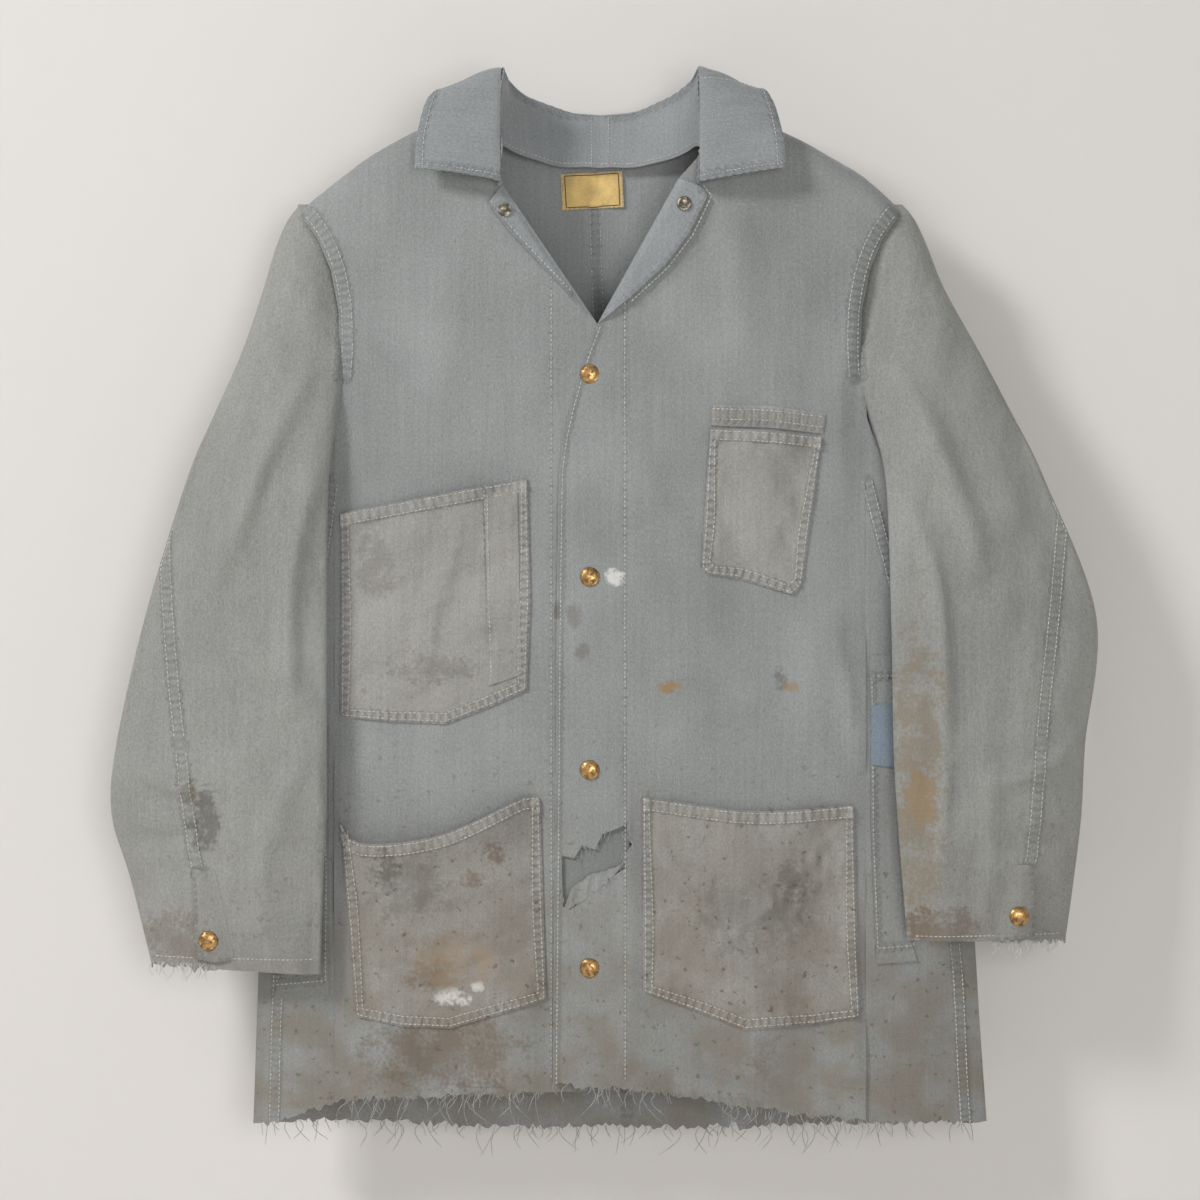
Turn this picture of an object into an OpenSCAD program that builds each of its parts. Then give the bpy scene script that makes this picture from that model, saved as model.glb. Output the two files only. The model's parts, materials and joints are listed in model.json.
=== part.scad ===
// Long-sleeved artist's work smock with a turned-down collar and a snap front, in the shape it
// takes on a hanger. The front faces -Y, and "right" and "left" are the wearer's.
// The origin is at the middle of the smock's width and depth, level with the back hem.

/* [Body] */
// Height of the hem at which the shoulder seams meet the neck
neck_z = 800; // [790:1:820]
// Height of the crowns, where the shoulders' slope steepens
crown_z = 786; // [770:1:788]
// Height of the shoulder tips
tip_z = 720; // [690:1:740]
// Half of the width across the shoulder tips
tip_x = 236; // [225:1:245]
// Height of the armpits
armpit_z = 507; // [490:1:530]
// Half of the front's width between the lines that the two fronts swing on
front_half = 208; // [200:1:215]
// Half of the hem's width
hem_half = 291; // [270:1:300]
// Thickness of a layer of cloth
cloth = 2.5; // [1.5:0.1:3]
// Distance of the front from the middle plane, at the swing lines
front_depth = 17; // [12:1:24]
// How much further out the front stands at its middle
front_bow = 12; // [4:1:18]
// Distance of the back's inner face from the middle plane
back_depth = 27; // [23:1:34]

/* [Front opening] */
// Height of the line below which the two fronts swing
bend_z = 575; // [560:1:580]
// Height of the point where the neck opening closes
vee_z = 628; // [615:1:640]
// Gap between the right front and the left front that laps over it
lap = 7; // [6:0.5:9]
// Place of the row of snaps, from the middle
snap_x = -8; // [-12:1:-4]
// Radius of a snap's cap
cap_r = 7.5; // [6.5:0.1:8]

/* [Collar] */
// Height of the collar's fold
roll_z = 829; // [820:1:840]
// Half of the neck's width
neck_half = 76; // [70:1:80]
// Width of a collar wing
wing_w = 64; // [50:1:70]

/* [Sleeves] */
// Height at which the elbows bend
elbow_z = 245; // [230:1:270]
// Half of a sleeve's thickness, hanging flat
sleeve_half = 19; // [16:1:19]
// Height of the cuffs' lower edge, right sleeve and left sleeve
cuff_z = [130, 146]; // [120:1:160]

/* [Hidden] */

RIGHT = -1;
LEFT = 1;
steps = 14;                  // flat strips along a bowed layer of cloth
ring_points = 32;            // corners round a sleeve
seam_gap = 2;                // clearance on each side of a line that cloth bends on
layer_gap = 1.5;             // clearance between two layers sewn together
snap_z = [589, 431, 281, 127];
seam_foot_x = 22;            // where the centre back seam meets the hem
seam_head = [-6, 757];       // where the centre back seam meets the neck, as X and Z
hem_skew = 16;               // how much further the left side reaches at the hem than the mean
armpit_x = 226;              // distance of the armpits from the middle
crown_x = 137;               // distance of the crowns from the middle
side_y = 5;                  // where the side edges lie, front to back
side_reach = 312;            // distance at which the sides' slope would reach side_y
neck_y = 9;                  // middle of the neck, front to back
back_neck = [88, 756];       // inner corner of each back, beside the neck, as X and Z
shoulder_x = 92;             // where the shoulders' cloth starts, clear of the collar
top_gap = cloth + 2;         // how far the fronts and backs stop below the shoulders' cloth
stand_z = [758, 805];        // lower and upper edge of the collar's stand
wing_y = -22.5;              // inner face of the collar's wings, at the collar's fold
wing_lean = 13;              // angle of the collar's wings from upright
neck_stud = [-74, 717];      // place of the neck snap's stud, as X and Z
neck_socket = [65, 721];     // place of the neck snap's socket, as X and Z
hang_forward = 28.5;         // how far the sleeves hang forward of the armholes
hang_turn = 0.21;            // how much further back a sleeve lies for each mm outward
cuff_y = -44.5;              // inner face of both cuff overlaps
stud_sink = 4.4;             // distance from that face to the feet of the cuff studs
grey = [0.52, 0.55, 0.55];
worn_grey = [0.55, 0.53, 0.48];
brass = [0.72, 0.52, 0.24];
nickel = [0.55, 0.53, 0.47];
fold_foot = [-2, vee_z];     // lower end of both lapels' folds, as X and Z
fold_top = [-74, 735];       // upper end of the right lapel's fold
under_collar_z = 772;        // height of the fronts' inner corners, under the collar wings

// How far out the cloth of one front lies at X. The left front rises over the right one.
function front_y(x, side) =
    -front_depth - front_bow * cos(90 * x / front_half)
    - (side == LEFT ? lap * min(1, (front_half - x) / front_half) : 0);

// X of the centre back seam at a height
function back_seam_x(z) = seam_foot_x + (seam_head[0] - seam_foot_x) * z / seam_head[1];

// Where the back's side edge meets the hem
function hem_x(side) = side * hem_half + hem_skew;

// Height of the shoulder line at a distance from the middle
function shoulder_z(x) = abs(x) < crown_x
    ? neck_z + (crown_z - neck_z) * (abs(x) - neck_half) / (crown_x - neck_half)
    : crown_z + (tip_z - crown_z) * (abs(x) - crown_x) / (tip_x - crown_x);

// Edge of the upper part of an armhole, from the shoulder tip down, as X and Z
function armhole(side) = [
    for (p = [[tip_x, tip_z - 5], [213, 670], [206, 610]])
        [side * p[0], p[1]]
];

// Draws an outline in X and Z and gives it depth from y0 to y1.
module upright(y0, y1) {
    rotate([90, 0, 0])
        translate([0, 0, -y1])
            linear_extrude(y1 - y0)
                children();
}

// Draws an outline in X and Z that runs right through the smock's depth.
module through() {
    upright(-200, 200)
        children();
}

// Draws an outline in X and Y that runs over more than the smock's whole height.
module over_height() {
    translate([0, 0, -20])
        linear_extrude(900)
            children();
}

// A layer of cloth that follows one front, with the outline given in X and Z.
// off is its distance outward from the front's own cloth.
module on_front(side, off, thick) {
    reach = 300;
    xs = [for (i = [-steps:steps]) i * reach / steps];
    inner_line = [for (x = xs) [x, front_y(x, side) - off]];
    outer_line = [for (i = [2 * steps:-1:0]) [xs[i], front_y(xs[i], side) - off - thick]];
    intersection() {
        over_height()
            polygon(concat(inner_line, outer_line));
        through()
            children();
    }
}

// ---------- back, sides and shoulders ----------

module back_half(side) {
    gap = side;
    color(grey)
        upright(back_depth, back_depth + cloth)
            polygon([
                [back_seam_x(0) + gap, 0],
                [hem_x(side), 0],
                [side * armpit_x, armpit_z],
                [side * 206, 600],
                [side * tip_x, tip_z - top_gap],
                [side * crown_x, crown_z - top_gap],
                [side * shoulder_x, shoulder_z(shoulder_x) - top_gap],
                [side * back_neck[0], back_neck[1]],
                [back_seam_x(back_neck[1]) + gap, back_neck[1]]]);
}

module back_seam() {
    half = 6;
    foot = 2;
    head = back_neck[1] - 6;
    color(grey)
        upright(back_depth + cloth + 0.5, back_depth + cloth + 2)
            polygon([
                [back_seam_x(foot) - half, foot],
                [back_seam_x(foot) + half, foot],
                [back_seam_x(head) + half, head],
                [back_seam_x(head) - half, head]]);
}

module side_panel(side) {
    start_x = side * (front_half + seam_gap);
    start_y = front_y(front_half, RIGHT);
    edge_x = hem_x(side) - side * 2;
    color(grey)
        intersection() {
            over_height()
                polygon([
                    [start_x, start_y],
                    [start_x, start_y - cloth],
                    [side * side_reach, side_y - cloth],
                    [side * side_reach, side_y]]);
            through()
                polygon([
                    [start_x, 4],
                    [edge_x, 2],
                    [side * 262, 160],
                    [side * armpit_x, armpit_z - 2],
                    [start_x, armpit_z + 40]]);
        }
}

module shoulder(side) {
    inner_x = side * shoulder_x;
    outer_x = side * (tip_x - 1);
    color(grey)
        upright(-front_depth + 2, back_depth - 1)
            polygon([
                [inner_x, shoulder_z(inner_x)],
                [side * crown_x, crown_z],
                [outer_x, tip_z],
                [outer_x, tip_z + cloth],
                [side * crown_x, crown_z + cloth],
                [inner_x, shoulder_z(inner_x) + cloth]]);
}

// ---------- fronts ----------

module upper_front_right() {
    color(grey)
        on_front(RIGHT, 0, cloth)
            polygon(concat(
                [[8, bend_z + seam_gap], [4, vee_z - 6], fold_top, [-84, under_collar_z],
                 [-crown_x, crown_z - top_gap]],
                armhole(RIGHT),
                [[-206, bend_z + seam_gap]]));
}

module upper_front_left() {
    color(grey)
        on_front(LEFT, 0, cloth)
            polygon(concat(
                [[-22, bend_z + seam_gap], [-13, 598], fold_foot, [59, 740],
                 [84, under_collar_z], [crown_x, crown_z - top_gap]],
                armhole(LEFT),
                [[206, bend_z + seam_gap]]));
}

module front_right() {
    color(grey)
        on_front(RIGHT, 0, cloth)
            polygon([
                [-front_half + seam_gap, 22],
                [-43, 29],
                [8, 30],
                [8, bend_z],
                [-front_half + seam_gap, bend_z]]);
}

module front_left() {
    color(grey)
        on_front(LEFT, 0, cloth)
            polygon([
                [-37, 36],
                [39, 31],
                [125, 15],
                [front_half - seam_gap, 6],
                [front_half - seam_gap, bend_z],
                [-22, bend_z],
                [-30, 530],
                [-33, 460]]);
}

// Strip sewn inside the edge of a front.
module facing_right() {
    color(grey)
        on_front(RIGHT, -layer_gap, 1)
            polygon([[-38, 34], [-22, 34], [-22, bend_z - 4], [-38, bend_z - 4]]);
}

module facing_left() {
    color(grey)
        on_front(LEFT, -layer_gap, 1)
            polygon([[12, 38], [22, 38], [22, bend_z - 4], [12, bend_z - 4]]);
}

module tool_pocket() {
    color(worn_grey)
        on_front(RIGHT, cloth + layer_gap, cloth)
            polygon([[-203, 322], [-121, 316], [-57, 343], [-62, 508], [-203, 481]]);
}

// Narrow compartment sewn on the tool pocket's inner edge.
module pencil_slot() {
    color(worn_grey)
        on_front(RIGHT, 2 * cloth + layer_gap + 0.5, 1)
            polygon([[-88, 372], [-60, 352], [-64, 500], [-91, 496]]);
}

module chest_pocket() {
    color(worn_grey)
        on_front(LEFT, cloth + layer_gap, cloth)
            polygon([[78, 433], [154, 417], [173, 541], [86, 547]]);
}

module chest_pocket_band() {
    color(worn_grey)
        on_front(LEFT, cloth + 0.5, 2)
            polygon([[86, 549], [174, 543], [176, 559], [130, 565], [86, 565]]);
}

module lower_pocket_right() {
    color(worn_grey)
        on_front(RIGHT, cloth + layer_gap, cloth)
            polygon([
                [-189, 86],
                [-117, 78],
                [-42, 101],
                [-48, 257],
                [-58, 260],
                [-120, 232],
                [-183, 222],
                [-203, 240]]);
}

module lower_pocket_left() {
    color(worn_grey)
        on_front(LEFT, cloth + layer_gap, cloth)
            polygon([[33, 109], [113, 78], [203, 87], [198, 252], [120, 249], [36, 260]]);
}

// ---------- side slits ----------

// Layer on a side panel's outside, with its outline given in X and Z.
module on_side(side, off, thick) {
    start_x = front_half + seam_gap;
    start_y = front_y(front_half, RIGHT) - cloth - off;
    end_y = side_y - cloth - off;
    intersection() {
        over_height()
            polygon([
                [side * start_x, start_y],
                [side * start_x, start_y - thick],
                [side * side_reach, end_y - thick],
                [side * side_reach, end_y]]);
        through()
            children();
    }
}

module side_slit_facing_right() {
    color(worn_grey)
        on_side(RIGHT, 0.5, 1)
            polygon([[-257, 99], [-212, 104], [-212, 330], [-238, 330], [-246, 129]]);
}

module side_slit_facing_left() {
    color(worn_grey)
        on_side(LEFT, 0.5, 1)
            polygon([[216, 128], [248, 130], [242, 150], [232, 370], [211, 370], [212, 240]]);
}

module mending_patch() {
    color([0.5, 0.58, 0.66])
        on_side(LEFT, 2, 1)
            polygon([[212, 284], [232, 282], [232, 331], [212, 331]]);
}

// ---------- lapels, collar and label ----------

module lapel_right() {
    y = front_y(0, RIGHT) - cloth - layer_gap;
    color(grey)
        upright(y - 3, y - 1)
            polygon([[-75, 731], [-87, 720], [-47, 674], [-10, 636]]);
}

module lapel_left() {
    y = front_y(0, LEFT) - cloth - layer_gap;
    color(grey)
        upright(y - 3, y - 1)
            polygon([[62, 738], [82, 728], [70, 698], [50, 670], [10, 638]]);
}

// Band that follows part of an oval round the neck, from one angle to another.
module neck_band(rx, ry, thick, a0, a1, z0, z1) {
    n = 24;
    angles = [for (i = [0:n]) a0 + (a1 - a0) * i / n];
    translate([0, neck_y, z0])
        linear_extrude(z1 - z0)
            polygon(concat(
                [for (a = angles) [rx * cos(a), ry * sin(a)]],
                [for (i = [n:-1:0]) [(rx + thick) * cos(angles[i]), (ry + thick) * sin(angles[i])]]));
}

module collar_stand() {
    color(grey)
        neck_band(neck_half - 2, 30, 2, 0, 180, stand_z[0], stand_z[1]);
}

module collar_back() {
    color(grey)
        neck_band(neck_half + 5, 36, 3, -12, 192, stand_z[0], roll_z - 4);
}

// One end of the collar, lying on the chest.
module collar_wing(side) {
    color(grey)
        translate([side * (neck_half + 1), wing_y, roll_z])
            rotate([-wing_lean, 0, 0])
                upright(-3, 0)
                    polygon([
                        [side * 1, -94],
                        [side * 1, 2],
                        [side * 24, 2],
                        [side * 56, -24],
                        [side * (wing_w + 2), -82]]);
}

module neck_label() {
    color([0.78, 0.66, 0.38])
        upright(back_depth - 2, back_depth - 1)
            translate([-30, 725])
                rotate(3)
                    square([49, 27]);
}

// ---------- sleeves ----------

// Rings down a sleeve: height, outer edge, inner edge, as distances from the middle.
function sleeve_rings(side) = side == RIGHT
    ? [[712, 247, 236], [660, 264, 220], [608, 279, 216], [507, 324, 214], [400, 358, 212],
       [300, 381, 212], [elbow_z, 385, 212], [195, 370, 215], [cuff_z[0], 353, 217]]
    : [[716, 249, 238], [660, 268, 216], [608, 300, 214], [507, 350, 226], [400, 393, 226],
       [300, 382, 228], [elbow_z, 379, 231], [195, 373, 235], [cuff_z[1], 366, 239]];

// How far a sleeve has come forward of the armhole at a height, from 0 to 1
function forward(z) = min(1, max(0, (armpit_z + 160 - z) / 160));

// A ring of points round a sleeve, shrunk inward by inset.
function sleeve_ring(r, side, inset) =
    let (mid = (r[1] + r[2]) / 2, half = (r[1] - r[2]) / 2, f = forward(r[0]),
         thick = (sleeve_half - inset) * min(1, half / 20))
    [for (i = [0:ring_points - 1])
        let (a = 360 * i / ring_points, along = max(half - inset, 1) * cos(a))
        [side * (mid + along), side_y + f * (hang_turn * along - hang_forward) + thick * sin(a), r[0]]];

// A solid through the rings. The inner one runs past both ends to leave them open.
module sleeve_loft(side, inset, past) {
    rings = sleeve_rings(side);
    last = len(rings) - 1;
    heights = [for (i = [0:last]) rings[i][0] + (i == 0 ? past : i == last ? -past : 0)];
    points = [for (i = [0:last]) for (p = sleeve_ring(rings[i], side, inset)) [p[0], p[1], heights[i]]];
    n = ring_points;
    walls = [for (i = [0:last - 1]) for (k = [0:n - 1])
        let (a = i * n + k, b = i * n + (k + 1) % n)
        side == LEFT ? [a, b, b + n, a + n] : [a, a + n, b + n, b]];
    top = [for (k = [0:n - 1]) side == LEFT ? n - 1 - k : k];
    bottom = [for (k = [0:n - 1]) last * n + (side == LEFT ? k : n - 1 - k)];
    polyhedron(points, concat(walls, [top, bottom]), convexity = 4);
}

// The tube of one sleeve, open at the cuff and through the armhole.
module sleeve_tube(side) {
    difference() {
        sleeve_loft(side, 0, 0);
        sleeve_loft(side, cloth, 1);
        upright(-100, 100)
            polygon([
                [side * 150, armpit_z - 40],
                [side * 222, armpit_z - 40],
                [side * 229, 660],
                [side * 150, 660]]);
    }
}

// Point on the outer edge that a sleeve lifts about
function lift_point(side) = side == RIGHT ? [-279, 608] : [300, 608];

// Everything above or below the line from the lift point to the armpit, kept clear of that line.
module lift_cut(side, above) {
    p = lift_point(side);
    q = [side * (side == RIGHT ? 214 : 226), armpit_z];
    along = (q - p) / norm(q - p);
    down = [side * -along[1], side * along[0]];
    off = down * (above ? seam_gap : -seam_gap) / 2;
    reach = 700;
    away = down * (above ? -reach : reach);
    upright(-120, 120)
        polygon([
            p + off - along * reach,
            q + off + along * reach,
            q + away + along * reach,
            p + away - along * reach]);
}

module sleeve_cap(side) {
    color(grey)
        difference() {
            sleeve_tube(side);
            lift_cut(side, false);
        }
}

module sleeve_upper(side) {
    color(grey)
        difference() {
            sleeve_tube(side);
            lift_cut(side, true);
            translate([-500, -150, 0])
                cube([1000, 300, elbow_z + seam_gap]);
        }
}

module sleeve_lower(side) {
    color(grey)
        intersection() {
            sleeve_tube(side);
            translate([-500, -150, 0])
                cube([1000, 300, elbow_z - seam_gap]);
        }
}

// ---------- cuffs ----------

// Corners of a cuff's overlap in X and Z: two on its hinge line, then two on its free edge
function cuff_corners(side) = side == RIGHT
    ? [[-299, 203], [-284, 137], [-313, 134], [-315, 203]]
    : [[320, 207], [305, 148], [336, 152], [335, 207]];

function cuff_snap(side) = side == RIGHT ? [-304, 148] : [325, 167];

module cuff_flap(side) {
    color(grey)
        upright(cuff_y - 1.5, cuff_y)
            polygon(cuff_corners(side));
}

// ---------- snaps ----------

// Puts a part that is built along +Z so that it points out of the front at a place.
module snap_at(x, y, z) {
    translate([x, y, z])
        rotate([90, 0, 0])
            children();
}

// Domed cap with a rolled rim.
module snap_cap(r) {
    dome_r = 3 * r;
    rim = 0.9;
    color(brass)
        union() {
            cylinder(r = r, h = rim, $fn = 48);
            intersection() {
                translate([0, 0, rim + 1.3 - dome_r])
                    sphere(r = dome_r, $fn = 64);
                cylinder(r = r - 0.3, h = rim + 2, $fn = 48);
            }
        }
}

module snap_socket(r, h) {
    color(nickel)
        difference() {
            cylinder(r = r, h = h, $fn = 48);
            translate([0, 0, -1])
                cylinder(r = 3.4, h = h + 2, $fn = 32);
        }
}

module snap_stud(base_r, post_h) {
    color(nickel)
        union() {
            cylinder(r = base_r, h = 0.8, $fn = 48);
            cylinder(r = 2.8, h = post_h, $fn = 32);
        }
}

module snap_eyelet() {
    color(nickel)
        difference() {
            cylinder(r = 5.5, h = 0.9, $fn = 48);
            translate([0, 0, -1])
                cylinder(r = 2, h = 3, $fn = 32);
        }
}

left_face = front_y(snap_x, LEFT);       // inner face of the left front at the snaps
right_face = front_y(snap_x, RIGHT);     // inner face of the right front at the snaps
tiny = 0.1;                              // clearance between a snap part and its cloth

module cap_at(z) {
    snap_at(snap_x, left_face - cloth - tiny, z)
        snap_cap(cap_r);
}

module stud_at(z) {
    snap_at(snap_x, right_face - cloth - tiny, z)
        snap_stud(5.5, 3.2);
}

module front_snap_caps() {
    for (i = [1:3])
        cap_at(snap_z[i]);
}

module front_snap_sockets() {
    for (i = [1:3])
        snap_at(snap_x, left_face + 2 + tiny, snap_z[i])
            snap_socket(5.5, 2);
}

module front_snap_studs() {
    for (i = [1:3])
        stud_at(snap_z[i]);
}

module front_snap_eyelets() {
    for (i = [1:3])
        snap_at(snap_x, right_face + 0.9 + tiny, snap_z[i])
            snap_eyelet();
}

module neck_snap_stud() {
    snap_at(neck_stud[0], front_y(0, RIGHT) - cloth - layer_gap - 3 - tiny, neck_stud[1])
        snap_stud(5, 2.6);
}

module neck_snap_socket() {
    snap_at(neck_socket[0], front_y(0, LEFT) - cloth - layer_gap - 3 - tiny, neck_socket[1])
        snap_socket(5.2, 1.8);
}

module cuff_snap_cap(side) {
    p = cuff_snap(side);
    snap_at(p[0], cuff_y - 1.5 - tiny, p[1])
        snap_cap(cap_r);
}

module cuff_snap_stud(side) {
    p = cuff_snap(side);
    snap_at(p[0], cuff_y + stud_sink, p[1])
        snap_stud(4.5, stud_sink - 0.6);
}

back_half(RIGHT);  // back_panel_right
back_half(LEFT);  // back_panel_left
back_seam();
side_panel(RIGHT);  // side_panel_right
side_panel(LEFT);  // side_panel_left
shoulder(RIGHT);  // shoulder_right
shoulder(LEFT);  // shoulder_left
upper_front_right();
upper_front_left();
front_right();
front_left();
facing_right();
facing_left();
tool_pocket();
pencil_slot();
chest_pocket();
chest_pocket_band();
lower_pocket_right();
lower_pocket_left();
side_slit_facing_right();
side_slit_facing_left();
mending_patch();
lapel_right();
lapel_left();
collar_stand();
collar_back();
collar_wing(RIGHT);  // collar_wing_right
collar_wing(LEFT);  // collar_wing_left
neck_label();
sleeve_cap(RIGHT);  // sleeve_cap_right
sleeve_cap(LEFT);  // sleeve_cap_left
sleeve_upper(RIGHT);  // sleeve_upper_right
sleeve_upper(LEFT);  // sleeve_upper_left
sleeve_lower(RIGHT);  // sleeve_lower_right
sleeve_lower(LEFT);  // sleeve_lower_left
cuff_flap(RIGHT);  // cuff_flap_right
cuff_flap(LEFT);  // cuff_flap_left
cap_at(snap_z[0]);  // top_snap_cap
stud_at(snap_z[0]);  // top_snap_stud
front_snap_caps();
front_snap_sockets();
front_snap_studs();
front_snap_eyelets();
neck_snap_stud();
neck_snap_socket();
cuff_snap_cap(RIGHT);  // cuff_snap_cap_right
cuff_snap_cap(LEFT);  // cuff_snap_cap_left
cuff_snap_stud(RIGHT);  // cuff_snap_stud_right
cuff_snap_stud(LEFT);  // cuff_snap_stud_left
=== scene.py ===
"""Looks of a worn work smock: hung up, snap-fronted, with patch pockets and a turned-down collar.

Cloth is built as sheets. A sheet has an outline in its own flat pattern (x across, s up along the
cloth, in millimetres), and a shape that turns pattern points into places in the frame.
"""

import json
import math

import bpy
import numpy as np
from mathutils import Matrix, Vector, geometry


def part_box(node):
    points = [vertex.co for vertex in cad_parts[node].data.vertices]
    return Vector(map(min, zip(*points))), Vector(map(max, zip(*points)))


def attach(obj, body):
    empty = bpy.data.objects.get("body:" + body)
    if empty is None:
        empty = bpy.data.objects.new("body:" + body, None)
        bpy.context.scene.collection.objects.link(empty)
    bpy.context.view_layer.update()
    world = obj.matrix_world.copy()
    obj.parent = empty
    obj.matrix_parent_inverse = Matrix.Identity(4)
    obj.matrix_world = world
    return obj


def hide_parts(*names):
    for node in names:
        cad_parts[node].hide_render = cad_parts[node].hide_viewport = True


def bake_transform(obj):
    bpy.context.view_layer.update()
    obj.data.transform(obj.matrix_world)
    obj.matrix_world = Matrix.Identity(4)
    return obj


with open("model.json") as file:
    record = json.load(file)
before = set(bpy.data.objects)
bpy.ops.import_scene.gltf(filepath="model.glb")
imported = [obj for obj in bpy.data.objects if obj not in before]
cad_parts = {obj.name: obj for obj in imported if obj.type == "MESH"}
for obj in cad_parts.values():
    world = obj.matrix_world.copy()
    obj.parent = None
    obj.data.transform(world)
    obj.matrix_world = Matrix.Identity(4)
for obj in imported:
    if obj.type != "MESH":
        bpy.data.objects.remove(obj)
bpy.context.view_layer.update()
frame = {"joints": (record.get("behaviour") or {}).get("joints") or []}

MM = 0.001
RIGHT = -1
LEFT = 1
SIDE_NAMES = {RIGHT: "right", LEFT: "left"}
JOINTS = {joint["name"]: joint for joint in frame["joints"]}

# ---------- sizes, in millimetres ----------


def box_mm(node):
    """Lowest and highest corner of a CAD node, in millimetres."""
    low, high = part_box(node)
    return np.array(low) / MM, np.array(high) / MM


def middle_of(node):
    """Middle of a CAD node's box, in millimetres."""
    low, high = box_mm(node)
    return (low + high) / 2


def joint_place(name):
    """Place of a joint, in millimetres."""
    return np.array(JOINTS[name]["pos_m"]) / MM


SWING_X, SWING_Y = joint_place("front_left_open")[:2]   # line that a front swings on
FRONT_DEPTH = -SWING_Y - 1.25                           # from the frame's middle to the fronts
FRONT_BOW = 12                                          # how far the front stands out at its middle
LAP = 7                                                 # the left front's rise over the right one
BACK_Y = box_mm("back_panel_left")[0][1]                # the back's inner face
SIDE_Y = 5                                              # where the side seams lie
SIDE_WIDTH = 95                                         # run from the swing line to the side seam
CLOTH = 1.3                                             # thickness of one layer
BEND_TOP, BEND_FOOT = 575, 300                          # the fronts turn between these heights
NECK_X, NECK_Z = box_mm("collar_stand")[1][0], 806       # top of a shoulder, beside the neck
TIP_X, TIP_Z = box_mm("shoulder_left")[1][0] + 1, 722   # and its outer end
SHOULDER_INNER, SHOULDER_OUTER = 84, 235                # ends of the shoulder's edge in the pattern
SHOULDER_DROP = 29                                      # fall of the shoulder, apart from its bend
SHOULDER_ROUND = 20                                     # height of the round between front and back
SHOULDER_SEAM = 1.9                                     # angle of that round where the front ends
SHOULDER_END = 2.2                                      # angle where the round stops
VEE = np.array([-2.0, 628.0])                           # point where the neck opening closes
FOLD_TOP = {RIGHT: np.array([-76.0, 737.0]), LEFT: np.array([61.0, 741.0])}  # lapels' creases
HEM_X = {RIGHT: box_mm("side_panel_right")[0][0], LEFT: box_mm("side_panel_left")[1][0]}
EDGE_HEIGHTS = [0, 146, 330, 507]                       # where the body's side edge is given
SIDE_EDGE = {RIGHT: [-HEM_X[RIGHT], 268, 250, 226], LEFT: [HEM_X[LEFT], 296, 270, 226]}

# ---------- numbers ----------


def smooth(t):
    """0 below 0, 1 above 1 and an even turn between."""
    t = np.clip(t, 0, 1)
    return t * t * (3 - 2 * t)


def unit(vectors):
    """Vectors along the last axis, made one long."""
    return vectors / np.maximum(np.linalg.norm(vectors, axis=-1, keepdims=True), 1e-12)


def runs(line):
    """Distance along a line to each of its points."""
    steps = np.linalg.norm(np.diff(line, axis=0), axis=1)
    return np.concatenate([[0], np.cumsum(steps)])


def between(line, where):
    """Places at distances along a line."""
    run = runs(line)
    return np.stack([np.interp(where, run, values) for values in np.transpose(line)], -1)


def resample(line, step, closed=False):
    """Points along a line, no further apart than step. Its corners stay."""
    line = np.asarray(line, float)
    ends = np.roll(line, -1, 0) if closed else line[1:]
    points = []
    for a, b in zip(line, ends):
        count = max(1, math.ceil(np.linalg.norm(b - a) / step))
        points.extend(a + (b - a) * i / count for i in range(count))
    if not closed:
        points.append(line[-1])
    return np.array(points)


def curve(points, step=6, count=None):
    """A smooth line through points (Catmull-Rom): step apart, or count places from each to the next."""
    points = np.asarray(points, float)
    padded = np.vstack([2 * points[0] - points[1], points, 2 * points[-1] - points[-2]])
    parts = []
    for a, b, c, d in zip(padded, padded[1:], padded[2:], padded[3:]):
        places = count or max(1, math.ceil(np.linalg.norm(c - b) / step))
        t = (np.arange(places) / places)[:, None]
        parts.append(0.5 * (2 * b + (c - a) * t + (2 * a - 5 * b + 4 * c - d) * t ** 2
                            + (3 * b - a - 3 * c + d) * t ** 3))
    return np.vstack([*parts, points[-1:]])


def nearest(points, line):
    """Each point's distance from a line, and how far along the line its nearest place is."""
    line = np.asarray(line, float)
    starts, steps = line[:-1], np.diff(line, axis=0)
    lengths = np.maximum(np.hypot(*steps.T), 1e-9)
    runs = np.cumsum(lengths) - lengths
    best = np.empty(len(points))
    along = np.empty(len(points))
    for first in range(0, len(points), 20000):
        part = slice(first, first + 20000)
        dx = points[part, 0, None] - starts[:, 0]
        ds = points[part, 1, None] - starts[:, 1]
        t = np.clip((dx * steps[:, 0] + ds * steps[:, 1]) / lengths ** 2, 0, 1)
        gaps = np.hypot(dx - t * steps[:, 0], ds - t * steps[:, 1])
        pick = gaps.argmin(1)
        rows = np.arange(len(pick))
        best[part] = gaps[rows, pick]
        along[part] = runs[pick] + t[rows, pick] * lengths[pick]
    return best, along


def inside(points, outline):
    """Which points lie inside an outline."""
    x, s = points.T
    hit = np.zeros(len(points), bool)
    for (x0, s0), (x1, s1) in zip(outline, np.roll(outline, -1, 0)):
        if s0 == s1:
            continue
        crossing = (s0 > s) != (s1 > s)
        hit ^= crossing & (x < x0 + (s - s0) * (x1 - x0) / (s1 - s0))
    return hit


def ripples(seed, size, wave, stretch=1.0):
    """Smooth random height over the pattern: size in height, wave in length, stretched along s."""
    rng = np.random.default_rng(seed)
    angles = rng.uniform(0, math.tau, 9)
    lengths = wave * rng.uniform(0.6, 1.7, 9)
    phases = rng.uniform(0, math.tau, 9)

    def height(p):
        total = np.zeros(len(p))
        for angle, length, phase in zip(angles, lengths, phases):
            run = p[:, 0] * math.cos(angle) + p[:, 1] * math.sin(angle) / stretch
            total += np.sin(math.tau * run / length + phase)
        return total * size / 3
    return height


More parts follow.
